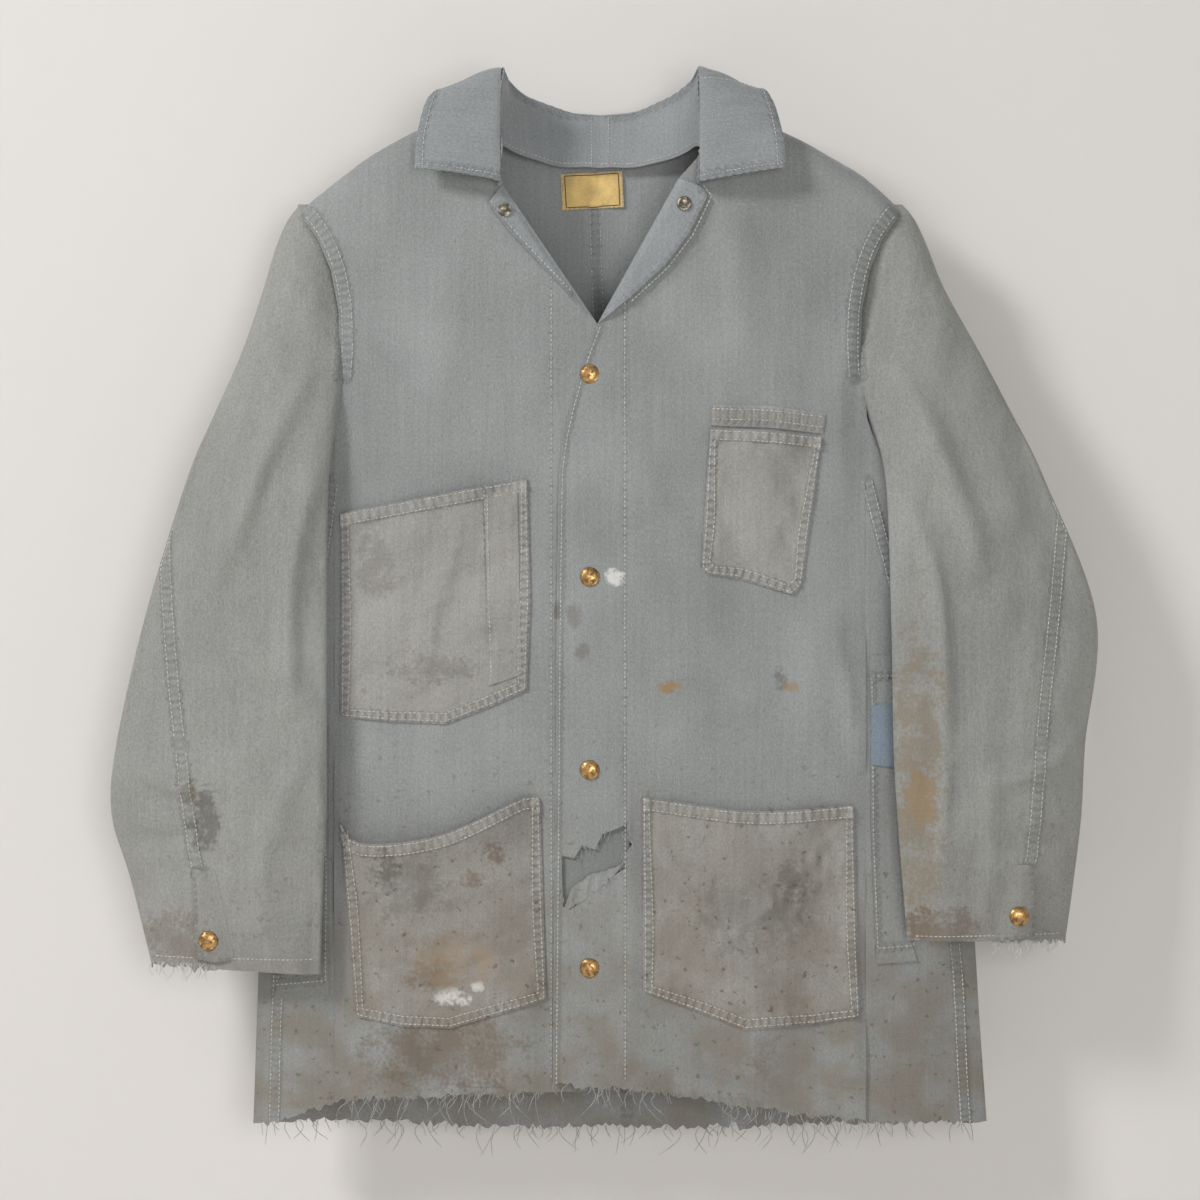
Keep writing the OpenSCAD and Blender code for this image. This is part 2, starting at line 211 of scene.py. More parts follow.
def fold(line, width, height):
    """A soft fold along a line, which fades at both ends."""
    line = curve(line, 20)
    length = runs(line)[-1]

    def lift(p):
        gap, along = nearest(p, line)
        fade = np.sin(math.pi * np.clip(along / length, 0, 1)) ** 0.6
        return height * fade * np.exp(-(gap / width) ** 2)
    return lift


def ridge(line, width, height=0.9, pucker=0.5, wave=6.5, seed=1):
    """A seam's raised band along a line, with the small puckers that sewing leaves."""
    line = np.asarray(line, float)
    jitter = np.random.default_rng(seed).uniform(0, math.tau)

    def lift(p):
        gap, along = nearest(p, line)
        band = np.clip(1 - (2 * gap / width) ** 4, 0, None)
        turns = math.tau * along / wave + 1.3 * np.sin(along / 23 + jitter) + jitter
        return band * (height + pucker * np.sin(turns))
    return lift


def total(*parts):
    """The sum of several heights over the pattern."""
    return lambda p: sum((part(p) for part in parts), np.zeros(len(p)))


def parallel(line, offset):
    """The same line, moved sideways. A positive offset goes to the right of its direction."""
    line = np.asarray(line, float)
    along = unit(np.gradient(line, axis=0))
    return line + offset * np.stack([along[:, 1], -along[:, 0]], 1)


def both_sides(line, offset):
    """Two lines, one on each side of a line."""
    return [parallel(line, offset), parallel(line, -offset)]


# ---------- shape of the cloth ----------


def shoulder_z(x):
    """Height of the shoulder line."""
    t = (np.abs(x) - NECK_X) / (TIP_X - NECK_X)
    return NECK_Z - SHOULDER_DROP * t - (NECK_Z - TIP_Z - SHOULDER_DROP) * t * t


def front_y(x, side):
    """How far out a front's outer face lies."""
    y = -FRONT_DEPTH - 2.5 - FRONT_BOW * np.cos(math.pi / 2 * x / SWING_X)
    if side == LEFT:
        y = y - LAP * np.clip((SWING_X - x) / SWING_X, 0, 1)
    return y


def rounded(x, y, s, top, depth):
    """Turns a sheet over the shoulder: s runs on round an arc above the level of the round."""
    level = top - SHOULDER_ROUND
    turn = np.clip((s - level) / SHOULDER_ROUND, 0, SHOULDER_END)
    z = np.minimum(s, level) + SHOULDER_ROUND * np.sin(turn)
    return np.stack([x, y + depth * (1 - np.cos(turn)), z], 1)


def front_shape(side):
    """A front's surface, from the hem up and over the shoulder."""
    def place(p):
        x, s = p.T
        y = front_y(x, side)
        return rounded(x, y, s, shoulder_z(x), (BACK_Y + 1 - y) / 2)
    return place


def side_place(p):
    """The surface below an armpit, which goes on from the front and turns back to the side seam."""
    x, s = p.T
    out = np.abs(x) - SWING_X
    slope = math.pi / 2 * FRONT_BOW / SWING_X
    rise = SIDE_Y + FRONT_DEPTH - SIDE_WIDTH * slope
    y = front_y(np.array([SWING_X]), RIGHT)[0] + slope * out + rise * (out / SIDE_WIDTH) ** 2
    return np.stack([x, y, s], 1)


def back_place(p):
    """The back's surface, which comes forward to the side seams and goes over the shoulders."""
    x, s = p.T
    edge = np.where(x < 0, np.interp(s, EDGE_HEIGHTS, SIDE_EDGE[RIGHT]),
                    np.interp(s, EDGE_HEIGHTS, SIDE_EDGE[LEFT]))
    near = smooth((np.abs(x) - edge + 75) / 75) * smooth((620 - s) / 120)
    y = BACK_Y + 2 - (BACK_Y - SIDE_Y) * near
    front = front_y(x, RIGHT)
    return rounded(x, y, s, shoulder_z(x), (front - y) / 2)


class Cloth:
    """A surface: its shape, the broad folds and the fine relief of its seams."""

    def __init__(self, shape, broad=total(), fine=total(), facing=1):
        self.shape = shape
        self.broad = broad
        self.fine = fine
        self.facing = facing

    def raised(self, lift, fine=total()):
        """The surface of something that lies on this cloth. The relief of its seams is its own."""
        return Cloth(self.shape, lambda p: self.broad(p) + lift, fine)

    def normals(self, p):
        """Unit normals, pointing away from the wearer where facing is 1."""
        step = 0.5
        across = self.shape(p + [step, 0]) - self.shape(p - [step, 0])
        up = self.shape(p + [0, step]) - self.shape(p - [0, step])
        normal = np.cross(across, up) * self.facing
        length = np.linalg.norm(normal, axis=1)[:, None]
        return np.where(length > 1e-3, normal / np.maximum(length, 1e-3), [0, -1, 0])

    def at(self, p, lift=0.0):
        """Places of pattern points, lifted off the cloth's face."""
        height = self.broad(p) + self.fine(p) + lift
        return self.shape(p) + self.normals(p) * height[:, None]


# ---------- meshes ----------


def make_object(name, verts_mm, faces, material, rest=None, wear=None):
    """An object with smooth faces, whose pattern places and wear are kept for its material."""
    mesh = bpy.data.meshes.new(name)
    mesh.from_pydata((np.asarray(verts_mm) * MM).tolist(), [], faces)
    if rest is None:
        rest = verts_mm
    slot = mesh.attributes.new("rest", "FLOAT_VECTOR", "POINT")
    slot.data.foreach_set("vector", np.asarray(rest, np.float32).ravel())
    if wear is not None:
        slot = mesh.attributes.new("wear", "FLOAT", "POINT")
        slot.data.foreach_set("value", np.asarray(wear, np.float32))
    mesh.shade_smooth()
    mesh.set_sharp_from_angle(angle=math.radians(50))
    mesh.materials.append(material)
    obj = bpy.data.objects.new(name, mesh)
    bpy.context.scene.collection.objects.link(obj)
    return obj


def vertex_normals(verts, faces):
    """Mean normal of the faces round each vertex."""
    a, b, c = (verts[faces[:, i]] for i in (0, 1, 2))
    normal = np.cross(b - a, c - a)
    total_normal = np.zeros_like(verts)
    for i in range(faces.shape[1]):
        np.add.at(total_normal, faces[:, i], normal)
    return unit(total_normal)


def rim_faces(faces, count):
    """Faces that join the open edges of a sheet to those of its other side."""
    edges = np.vstack([np.stack([faces[:, i], np.roll(faces, -1, 1)[:, i]], 1)
                       for i in range(faces.shape[1])])
    known = set(map(tuple, edges))
    return [(b, a, a + count, b + count) for a, b in edges if (b, a) not in known]


def thick_object(name, verts, faces, thickness, material, rest, wear):
    """A closed object: a sheet, and the same sheet again at its thickness behind."""
    faces = np.asarray(faces)
    count = len(verts)
    verts_in = verts - vertex_normals(verts, faces) * thickness
    all_faces = faces.tolist() + (faces[:, ::-1] + count).tolist() + rim_faces(faces, count)
    return make_object(name, np.vstack([verts, verts_in]), all_faces, material,
                       np.vstack([rest, rest]), np.concatenate([wear, wear * 0.3]))


def filling(loops, features, fine, band):
    """Points inside an outline and outside its holes, closer together near the features."""
    outline = loops[0]
    low, high = outline.min(0), outline.max(0)
    columns, rows = np.ceil((high - low) / fine).astype(int)
    i, j = (index.ravel() for index in np.meshgrid(np.arange(columns + 1), np.arange(rows + 1)))
    grid = np.stack([low[0] + (i + 0.5 * (j % 2)) * fine, low[1] + j * fine], 1)
    kept = in_loops(grid, loops)
    grid, i, j = grid[kept], i[kept], j[kept]
    rim = np.min([nearest(grid, np.vstack([loop, loop[:1]]))[0] for loop in loops], axis=0)
    gap = np.min([rim, *[nearest(grid, line)[0] for line in features]], axis=0)
    wide = (i % 2 == 0) & (j % 2 == 0)
    wider = (i % 4 == 0) & (j % 4 == 0)
    return grid[(rim > fine * 0.55) & ((gap < band) | (wide & (gap < 3 * band)) | wider)]


def in_loops(points, loops):
    """Which points lie inside the first loop and outside the others."""
    kept = inside(points, loops[0])
    for hole in loops[1:]:
        kept &= ~inside(points, hole)
    return kept


def flat_mesh(outline, holes, features, fine, band):
    """Triangles that fill an outline: small ones within band of the features, and wider elsewhere."""
    corners = [np.asarray(loop, float) for loop in (outline, *holes)]
    loops = [resample(loop, fine * 1.2, closed=True) for loop in corners]
    edges = []
    start = 0
    for loop in loops:
        ids = np.arange(start, start + len(loop))
        edges.extend(zip(ids.tolist(), np.roll(ids, -1).tolist()))
        start += len(loop)
    points = np.vstack([*loops, filling(corners, features, fine, band)])
    made = geometry.delaunay_2d_cdt([Vector(point) for point in points], edges, [], 0, 1e-4)
    verts = np.array([tuple(v) for v in made[0]])
    faces = np.array([face for face in made[2] if len(face) == 3])
    a, b, c = (verts[faces[:, k]] for k in (0, 1, 2))
    turn = (b - a)[:, 0] * (c - a)[:, 1] - (b - a)[:, 1] * (c - a)[:, 0]
    kept = in_loops((a + b + c) / 3, loops) & (np.abs(turn) > 1e-3)
    faces[turn < 0] = faces[turn < 0][:, ::-1]
    used, faces = np.unique(faces[kept], return_inverse=True)
    return verts[used], faces.reshape(-1, 3)


def sheet(name, cloth, outline, material, holes=(), features=(), fine=2.0, band=7.0, lift=0.0):
    """A piece of cloth cut to an outline and laid on a cloth's surface."""
    p, faces = flat_mesh(outline, holes, features, fine, band)
    if cloth.facing < 0:
        faces = faces[:, ::-1]
    rest = np.column_stack([p, np.full(len(p), float(lift))])
    return thick_object(name, cloth.at(p, lift), faces, CLOTH, material, rest, cloth.fine(p))


def grid_object(name, places, rest, wear, material, thickness=CLOTH, closed=False):
    """A thick object from rows of places. Where closed, each row joins up with itself."""
    rows, columns = places.shape[:2]
    ids = np.arange(rows * columns).reshape(rows, columns)
    right = np.roll(ids, -1, 1) if closed else ids[:, 1:]
    left = ids if closed else ids[:, :-1]
    faces = np.stack([left[:-1], right[:-1], right[1:], left[1:]], -1).reshape(-1, 4)
    return thick_object(name, places.reshape(-1, 3), faces, thickness, material,
                        rest.reshape(-1, 3), wear.ravel())


def ring_faces(start, rings, sides):
    """Faces of a closed tube whose rings of points follow each other from a first point."""
    faces = []
    for first in range(start, start + (rings - 1) * sides, sides):
        for k in range(sides):
            a, b = first + k, first + (k + 1) % sides
            faces.append((a, b, b + sides, a + sides))
    faces.append(tuple(range(start, start + sides))[::-1])
    faces.append(tuple(range(start + (rings - 1) * sides, start + rings * sides)))
    return faces


def tubes(name, lines, radius, material, sides=5):
    """Threads: one closed tube along each line of places."""
    verts = []
    faces = []
    angles = np.arange(sides) * math.tau / sides
    for line in lines:
        line = np.asarray(line, float)
        along = unit(np.gradient(line, axis=0))
        helper = np.where(np.abs(along[:, 1:2]) > 0.8, [[1.0, 0, 0]], [[0, 1.0, 0]])
        u = unit(np.cross(along, helper))
        v = np.cross(along, u)
        taper = np.full(len(line), radius)
        taper[[0, -1]] *= 0.45
        start = len(verts)
        for centre, across, up, r in zip(line, u, v, taper):
            verts.extend(centre + r * (math.cos(a) * across + math.sin(a) * up) for a in angles)
        faces.extend(ring_faces(start, len(line), sides))
    return make_object(name, verts, faces, material)


def stitch_points(row, length=2.5, gap=1.0):
    """Pattern points of the stitches along one row, four to a stitch."""
    row = resample(row, 0.5)
    starts = np.arange(0.3, runs(row)[-1] - length, length + gap)
    return between(row, starts[:, None] + length * np.array([0.0, 0.25, 0.75, 1.0]))


def stitches(name, cloth, rows, material, lift=0.3, radius=0.42):
    """Rows of stitches on a cloth's surface. The ends of each stitch dive into the cloth."""
    points = np.vstack([stitch_points(row) for row in rows if len(row) > 1])
    dive = np.tile([-0.5, 0.0, 0.0, -0.5], len(points))
    places = cloth.at(points.reshape(-1, 2), lift + dive)
    return tubes(name, places.reshape(-1, 4, 3), radius, material, sides=4)


def frays(name, cloth, line, count, reach, material, seed, down=1.0):
    """Loose threads that hang from a raw edge."""
    rng = np.random.default_rng(seed)
    line = resample(line, 1.0)
    lines = []
    for _ in range(count):
        root = line[rng.integers(len(line))]
        length = reach * rng.uniform(0.2, 1.0) ** 2.6
        lean, curl, out = rng.uniform(-0.7, 0.7), rng.uniform(-0.5, 0.5), rng.uniform(-1, 4)
        start = cloth.at(root[None, :], -0.5)[0]
        t = np.linspace(0, 1, 6)
        x = start[0] + length * (lean * t + curl * np.sin(3.5 * t))
        z = start[2] + 2 * (1 - t) - down * length * t ** 1.2
        lines.append(np.stack([x, start[1] - out * t, z], 1))
    return tubes(name, lines, 0.24, material, sides=4)


def lathe(profile, centre, segments=40):
    """Points and faces of a round part that faces -Y. The profile is radius and height outward."""
    verts = []
    for r, h in profile:
        for k in range(segments):
            a = math.tau * k / segments
            verts.append((centre[0] + r * math.cos(a), centre[1] - h, centre[2] + r * math.sin(a)))
    return verts, ring_faces(0, len(profile), segments)


def lathes(name, profile, centres, material):
    """One object of the same round part at each of the centres."""
    verts, faces = [], []
    for centre in centres:
        more_verts, more_faces = lathe(profile, centre)
        faces.extend(tuple(i + len(verts) for i in face) for face in more_faces)
        verts.extend(more_verts)
    return make_object(name, verts, faces, material)


# ---------- materials ----------


class Graph:
    """A material's node tree, built by calls that return sockets."""

    def __init__(self, name):
        self.material = bpy.data.materials.new(name)
        self.material.use_nodes = True
        self.tree = self.material.node_tree
        self.shader = self.tree.nodes["Principled BSDF"]

    def put(self, value, socket):
        """Links a socket to another, or gives it a plain value."""
        if isinstance(value, bpy.types.NodeSocket):
            self.tree.links.new(value, socket)
        else:
            socket.default_value = value

    def node(self, kind, inputs, output=0, **settings):
        """Adds a node with its settings and inputs, and returns one of its outputs."""
        node = self.tree.nodes.new(kind)
        for key, value in settings.items():
            setattr(node, key, value)
        for key, value in inputs.items():
            self.put(value, node.inputs[key])
        return node.outputs[output]

    def math(self, operation, *values):
        """Arithmetic on values, two at a time from the left."""
        result = values[0]
        for value in values[1:] or (0.0,):
            result = self.node("ShaderNodeMath", {0: result, 1: value}, operation=operation)
        return result

    def mix(self, share, a, b):
        """Colour a, turning to colour b as share rises."""
        return self.node("ShaderNodeMix", {0: share, 6: a, 7: b}, output=2, data_type="RGBA")

    def scale(self, colour, amount):
        """A plain colour, made brighter or darker."""
        return self.node("ShaderNodeVectorMath", {0: colour[:3], 3: amount}, operation="SCALE")

    def ramp(self, value, low, high, low_to=0.0, high_to=1.0):
        """Turns a range of values into another one, with soft ends."""
        names = {"Value": value, 1: low, 2: high, 3: low_to, 4: high_to}
        return self.node("ShaderNodeMapRange", names, interpolation_type="SMOOTHSTEP")

    def noise(self, places, size, detail=3.0, stretch=(1, 1, 1)):
        """Noise whose blobs are about size across, in the units of the places."""
        factors = tuple(s / size for s in stretch)
        scaled = self.node("ShaderNodeVectorMath", {0: places, 1: factors}, operation="MULTIPLY")
        return self.node("ShaderNodeTexNoise", {"Vector": scaled, "Scale": 1.0, "Detail": detail})

    def rest(self):
        """Place in the cloth's flat pattern, or on a hard part, in millimetres."""
        return self.node("ShaderNodeAttribute", {}, output=1, attribute_name="rest")

    def bump(self, height, distance, strength, normal=None):
        """Relief of a height, on top of an earlier relief where one is given."""
        inputs = {"Height": height, "Distance": distance, "Strength": strength}
        if normal is not None:
            inputs["Normal"] = normal
        return self.node("ShaderNodeBump", inputs)

    def finish(self, **inputs):
        """Sets or links the shader's inputs, and returns the material."""
        for key, value in inputs.items():
            self.put(value, self.shader.inputs[key.replace("_", " ")])
        return self.material


def rgb(r, g, b):
    """A solid colour, in linear light."""
    return (r, g, b, 1.0)


BROWN = rgb(0.13, 0.085, 0.05)
DARK_GREY = rgb(0.10, 0.09, 0.075)
OCHRE = rgb(0.34, 0.20, 0.06)
WHITE_PAINT = rgb(0.72, 0.72, 0.69)


GRIME = rgb(0.20, 0.165, 0.12)


def blot(graph, colour, x, s, ragged, centre, radii, paint, strength):
    """Lays a blotch of paint or dirt over a colour, with a ragged and broken edge."""
    dx = graph.math("DIVIDE", graph.math("SUBTRACT", x, centre[0]), radii[0])
    ds = graph.math("DIVIDE", graph.math("SUBTRACT", s, centre[1]), radii[1])
    gap = graph.math("ADD", graph.math("MULTIPLY", dx, dx), graph.math("MULTIPLY", ds, ds), ragged)
    return graph.mix(graph.ramp(gap, -0.1, 1.5, strength, 0.0), colour, paint)


def weave(graph, x, s, period=1.5, column=9.0):
    """Height of a herringbone twill: slanting ribs that turn back at each column's edge."""
    slant = graph.math("ADD", graph.math("PINGPONG", x, column), s)
    wave = graph.math("SINE", graph.math("MULTIPLY", slant, math.tau / period))
    return graph.math("MULTIPLY", wave, 0.5)


def cloth_tone(graph, rest, grain):
    """Brightness of washed cloth: broad fading, streaks, grain, fibres and worn seams."""
    broad = graph.noise(rest, 110.0, 4.0)
    streak = graph.noise(rest, 2.6, 2.0, stretch=(1, 0.03, 1))
    fibre = graph.noise(rest, 0.9, 2.0, stretch=(1, 0.25, 1))
    wear = graph.node("ShaderNodeAttribute", {}, output=2, attribute_name="wear")
    worn = graph.math("MULTIPLY", graph.ramp(wear, -0.6, 2.4, -0.32, 0.20),
                      graph.ramp(graph.math("ABSOLUTE", wear), 0.0, 0.3))
    return graph.math("ADD", graph.ramp(broad, 0.28, 0.72, 0.88, 1.08),
                      graph.ramp(streak, 0.3, 0.7, -0.035, 0.035),
                      graph.ramp(grain, 0.25, 0.75, -0.10, 0.10),
                      graph.ramp(fibre, 0.3, 0.7, -0.07, 0.07), worn)


def dirty(graph, shade, rest, s, dirt, specks, grime_top):
    """A colour with grime that clouds up from the hem, and small brown specks."""
    height = graph.ramp(s, 10.0, grime_top, 1.0, 0.0)
    cloud = graph.ramp(graph.noise(rest, 45.0, 5.0), 0.36, 0.62, 0.25, 1.0)
    shade = graph.mix(graph.math("MULTIPLY", height, cloud, 0.50 * dirt), shade, GRIME)
    speck = graph.ramp(graph.noise(rest, 6.5, 4.0), 0.61, 0.71)
    where = graph.ramp(s, 130.0, grime_top + 110, 1.0, 0.0)
    return graph.mix(graph.math("MULTIPLY", speck, where, 0.55 * specks), shade, BROWN)


def cloth_material(name, colour, dirt=1.0, specks=1.0, crumple=1.0, grime_top=330.0, blots=()):
    """Washed cotton twill: colour that varies, worn seams, dirt towards the hem, specks, blots."""
    graph = Graph(name)
    rest = graph.rest()
    parts = graph.tree.nodes.new("ShaderNodeSeparateXYZ")
    graph.put(rest, parts.inputs[0])
    x, s = parts.outputs[0], parts.outputs[1]
    grain = graph.noise(rest, 1.7, 3.0)
    shade = graph.scale(colour, cloth_tone(graph, rest, grain))
    shade = dirty(graph, shade, rest, s, dirt, specks, grime_top)
    ragged = graph.math("ADD", graph.ramp(graph.noise(rest, 16.0, 5.0), 0.25, 0.75, -0.8, 0.8),
                        graph.ramp(graph.noise(rest, 3.2, 3.0), 0.3, 0.7, -0.5, 0.5))
    for centre, radii, paint, strength in blots:
        shade = blot(graph, shade, x, s, ragged, centre, radii, paint, strength)
    ribs = graph.bump(weave(graph, x, s), 0.00025, 0.35)
    small = graph.bump(graph.noise(rest, 7.0, 4.0), 0.0012 * crumple, 0.6, ribs)
    return graph.finish(Base_Color=shade, Roughness=0.92, Sheen_Weight=0.15,
                        Sheen_Roughness=0.6, Normal=graph.bump(grain, 0.0004, 0.6, small),
                        Specular_IOR_Level=0.15)


def thread_material(name, colour):
    """Cotton thread, a little uneven in colour."""
    graph = Graph(name)
    rest = graph.rest()
    tone = graph.ramp(graph.noise(rest, 6.0, 2.0), 0.3, 0.7, 0.75, 1.15)
    twist = graph.bump(graph.noise(rest, 0.5, 2.0), 0.0002, 0.5)
    return graph.finish(Base_Color=graph.scale(colour, tone), Roughness=0.85,
                        Sheen_Weight=0.2, Normal=twist)


def metal_material(name, colour, tarnish, roughness):
    """Old plated metal: bright where it is rubbed, dark where it is tarnished."""
    graph = Graph(name)
    rest = graph.rest()
    blotches = graph.ramp(graph.noise(rest, 3.5, 4.0), 0.38, 0.66)
    spots = graph.ramp(graph.noise(rest, 1.1, 3.0), 0.55, 0.75, 0.0, 0.8)
    share = graph.math("MAXIMUM", blotches, spots)
    shade = graph.mix(share, colour, tarnish)
    gloss = graph.ramp(share, 0.0, 1.0, roughness, roughness + 0.3)
    scratches = graph.bump(graph.noise(rest, 1.2, 4.0), 0.0003, 0.4)
    return graph.finish(Base_Color=shade, Metallic=0.9, Roughness=gloss, Normal=scratches)


def label_material():
    """The woven label's faded cloth."""
    graph = Graph("label")
    rest = graph.rest()
    tone = graph.ramp(graph.noise(rest, 14.0, 4.0), 0.3, 0.7, 0.8, 1.12)
    threads = graph.noise(rest, 0.8, 2.0, stretch=(0.3, 1, 1))
    tone = graph.math("ADD", tone, graph.ramp(threads, 0.3, 0.7, -0.08, 0.08))
    return graph.finish(Base_Color=graph.scale(rgb(0.80, 0.56, 0.21), tone), Roughness=0.7,
                        Normal=graph.bump(threads, 0.0003, 0.6))


# Marks: place and size in the pattern, colour and strength.
TWILL_BLOTS = [
    ((12, 431), (7, 6), WHITE_PAINT, 0.9),
    ((55, 345), (8, 5), OCHRE, 0.75),
    ((140, 352), (6, 9), DARK_GREY, 0.5),
    ((150, 345), (7, 4), OCHRE, 0.5),
    ((-20, 400), (6, 10), BROWN, 0.35),
    ((-33, 402), (3, 9), BROWN, 0.5),
    ((-14, 372), (5, 7), BROWN, 0.4),
    ((130, 60), (12, 16), BROWN, 0.3),
    ((-120, 60), (60, 30), BROWN, 0.45),
    ((-90, 20), (30, 16), DARK_GREY, 0.4),
    ((60, 20), (60, 10), BROWN, 0.25),
]
POCKET_BLOTS = [
    ((-115, 104), (16, 7), WHITE_PAINT, 0.85),
    ((-96, 112), (6, 4), WHITE_PAINT, 0.8),
    ((-132, 118), (20, 14), BROWN, 0.5),
    ((-115, 130), (34, 22), rgb(0.33, 0.23, 0.14), 0.45),
    ((-82, 216), (8, 10), BROWN, 0.6),
    ((-100, 196), (12, 7), BROWN, 0.45),
    ((-165, 205), (10, 14), DARK_GREY, 0.5),
    ((-150, 190), (34, 26), DARK_GREY, 0.35),
    ((150, 195), (12, 18), DARK_GREY, 0.45),
    ((120, 170), (50, 30), DARK_GREY, 0.25),
    ((-175, 440), (16, 26), DARK_GREY, 0.28),
    ((-130, 360), (40, 10), DARK_GREY, 0.3),
]
SLEEVE_BLOTS = [
    ((247, 270), (21, 125), rgb(0.23, 0.18, 0.11), 0.55),
    ((250, 262), (14, 24), OCHRE, 0.35),
    ((262, 160), (34, 14), BROWN, 0.5),
    ((-308, 243), (13, 22), DARK_GREY, 0.6),
    ((-318, 262), (7, 12), BROWN, 0.6),
    ((-330, 150), (30, 20), BROWN, 0.35),
]
twill = cloth_material("twill", rgb(0.300, 0.314, 0.310), dirt=1.3, blots=TWILL_BLOTS)
pocket_twill = cloth_material("pocket_twill", rgb(0.345, 0.338, 0.318), dirt=1.35, specks=1.3,
                              crumple=1.6, grime_top=400.0, blots=POCKET_BLOTS)
sleeve_twill = cloth_material("sleeve_twill", rgb(0.31, 0.315, 0.30), dirt=0.9, specks=0.6,
                              grime_top=300.0, blots=SLEEVE_BLOTS)
collar_twill = cloth_material("collar_twill", rgb(0.305, 0.322, 0.330), dirt=0.0, specks=0.0)
back_twill = cloth_material("back_twill", rgb(0.325, 0.337, 0.335), dirt=1.1, specks=0.2)
# The facing's cloth is darker than the body's: painted shade for the inside of the left front's tear.
facing_twill_painted_shade = cloth_material("facing_twill_painted_shade", rgb(0.215, 0.228, 0.222), dirt=0.2, specks=0.0)
denim_patch = cloth_material("denim_patch", rgb(0.24, 0.29, 0.35), dirt=0.0, specks=0.1)
pale_thread = thread_material("pale_thread", rgb(0.60, 0.61, 0.58))
grey_thread = thread_material("grey_thread", rgb(0.38, 0.39, 0.385))
brown_thread = thread_material("brown_thread", BROWN)
brass = metal_material("snap_brass", rgb(0.62, 0.38, 0.15), rgb(0.22, 0.13, 0.06), 0.32)
nickel = metal_material("snap_nickel", rgb(0.42, 0.39, 0.33), rgb(0.14, 0.12, 0.09), 0.4)
METALS = {"snap_brass": brass, "snap_nickel": nickel}
label_cloth = label_material()

# ---------- how pieces ride ----------


def keep(obj, slot, *nodes):
    """Hides the CAD nodes that a piece stands for. The piece and its finish are not used."""
    if nodes:
        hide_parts(*nodes)


def on_body(obj, body, slot, *nodes):
    """A piece that moves with one body."""
    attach(obj, body)
    keep(obj, slot, *nodes)


def on_shell(obj, slot, *nodes):
    """A piece that stays still."""
    on_body(obj, "shell", slot, *nodes)


def over_joint(obj, bodies, ends, slot, *nodes):
    """A piece that crosses a joint: its transform is baked into its mesh and its CAD nodes hidden. The
    bodies and the two places are not used.
    """
    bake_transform(obj)
    keep(obj, slot, *nodes)


def on_front(obj, side, slot, *nodes):
    """A piece of a front: it stays where it is made, above the bend and below it."""
    ends = (0, 0, BEND_TOP * MM), (0, 0, BEND_FOOT * MM)
    over_joint(obj, ("shell", "front_" + SIDE_NAMES[side]), ends, slot, *nodes)


# ---------- fronts ----------


def ragged(line, seed, size=1.6):
    """A raw edge: the line with small random nicks."""
    rng = np.random.default_rng(seed)
    points = resample(line, 3.0)
    points[1:-1, 1] += rng.normal(0, size, len(points) - 2)
    return points


def top_edge(side, inner, outer, angle):
    """Pattern points along the shoulder, from inner to outer, at an angle of the round."""
    x = np.linspace(inner, outer, 9)
    return [[side * a, shoulder_z(a) + SHOULDER_ROUND * (angle - 1)] for a in x]


ARMHOLE = np.array([[236, 716], [222, 696], [212, 672], [206, 640], [205, 610], [206.5, 588]])
FRONT_HEM = {
    RIGHT: [[-SWING_X, 19.5], [-180, 23], [-110, 26], [-43, 29]],
    LEFT: [[-37, 36], [39, 31], [125, 15], [SWING_X, 5]],
}
PLACKET = [[-37, 36], [-35, 250], [-33, 460], [-30, 530], [-16, 589], [-2, 628]]
TEAR = [[-29, 174], [-30, 214], [-20, 212], [-14, 222], [-4, 219], [2, 231], [12, 235], [21, 239],
        [20, 229], [25, 223], [18, 214], [20, 205], [8, 197], [-2, 188], [-14, 179], [-23, 172]]
TORN_FLAP = [[-29, 171], [-14, 179], [3, 191], [17, 206], [4, 203], [-10, 198], [-22, 189]]


def front_outline(side):
    """Outline of a front's pattern, with its ragged hem."""
    armhole = ARMHOLE * [side, 1]
    shoulder = top_edge(side, SHOULDER_INNER, SHOULDER_OUTER, SHOULDER_SEAM)
    if side == RIGHT:
        hem = ragged(FRONT_HEM[RIGHT], 11)
        centre = [[10, 30], [10, 560], [6, 605], VEE, FOLD_TOP[RIGHT], [-82, 760]]
        return np.vstack([hem, centre, shoulder, armhole, [[-SWING_X, BEND_TOP]]])
    hem = ragged(FRONT_HEM[LEFT], 12)
    centre = curve(PLACKET, 12)[:0:-1]
    return np.vstack([hem, [[SWING_X, BEND_TOP]], armhole[::-1], shoulder[::-1],
                      [[80, 762], FOLD_TOP[LEFT]], centre])


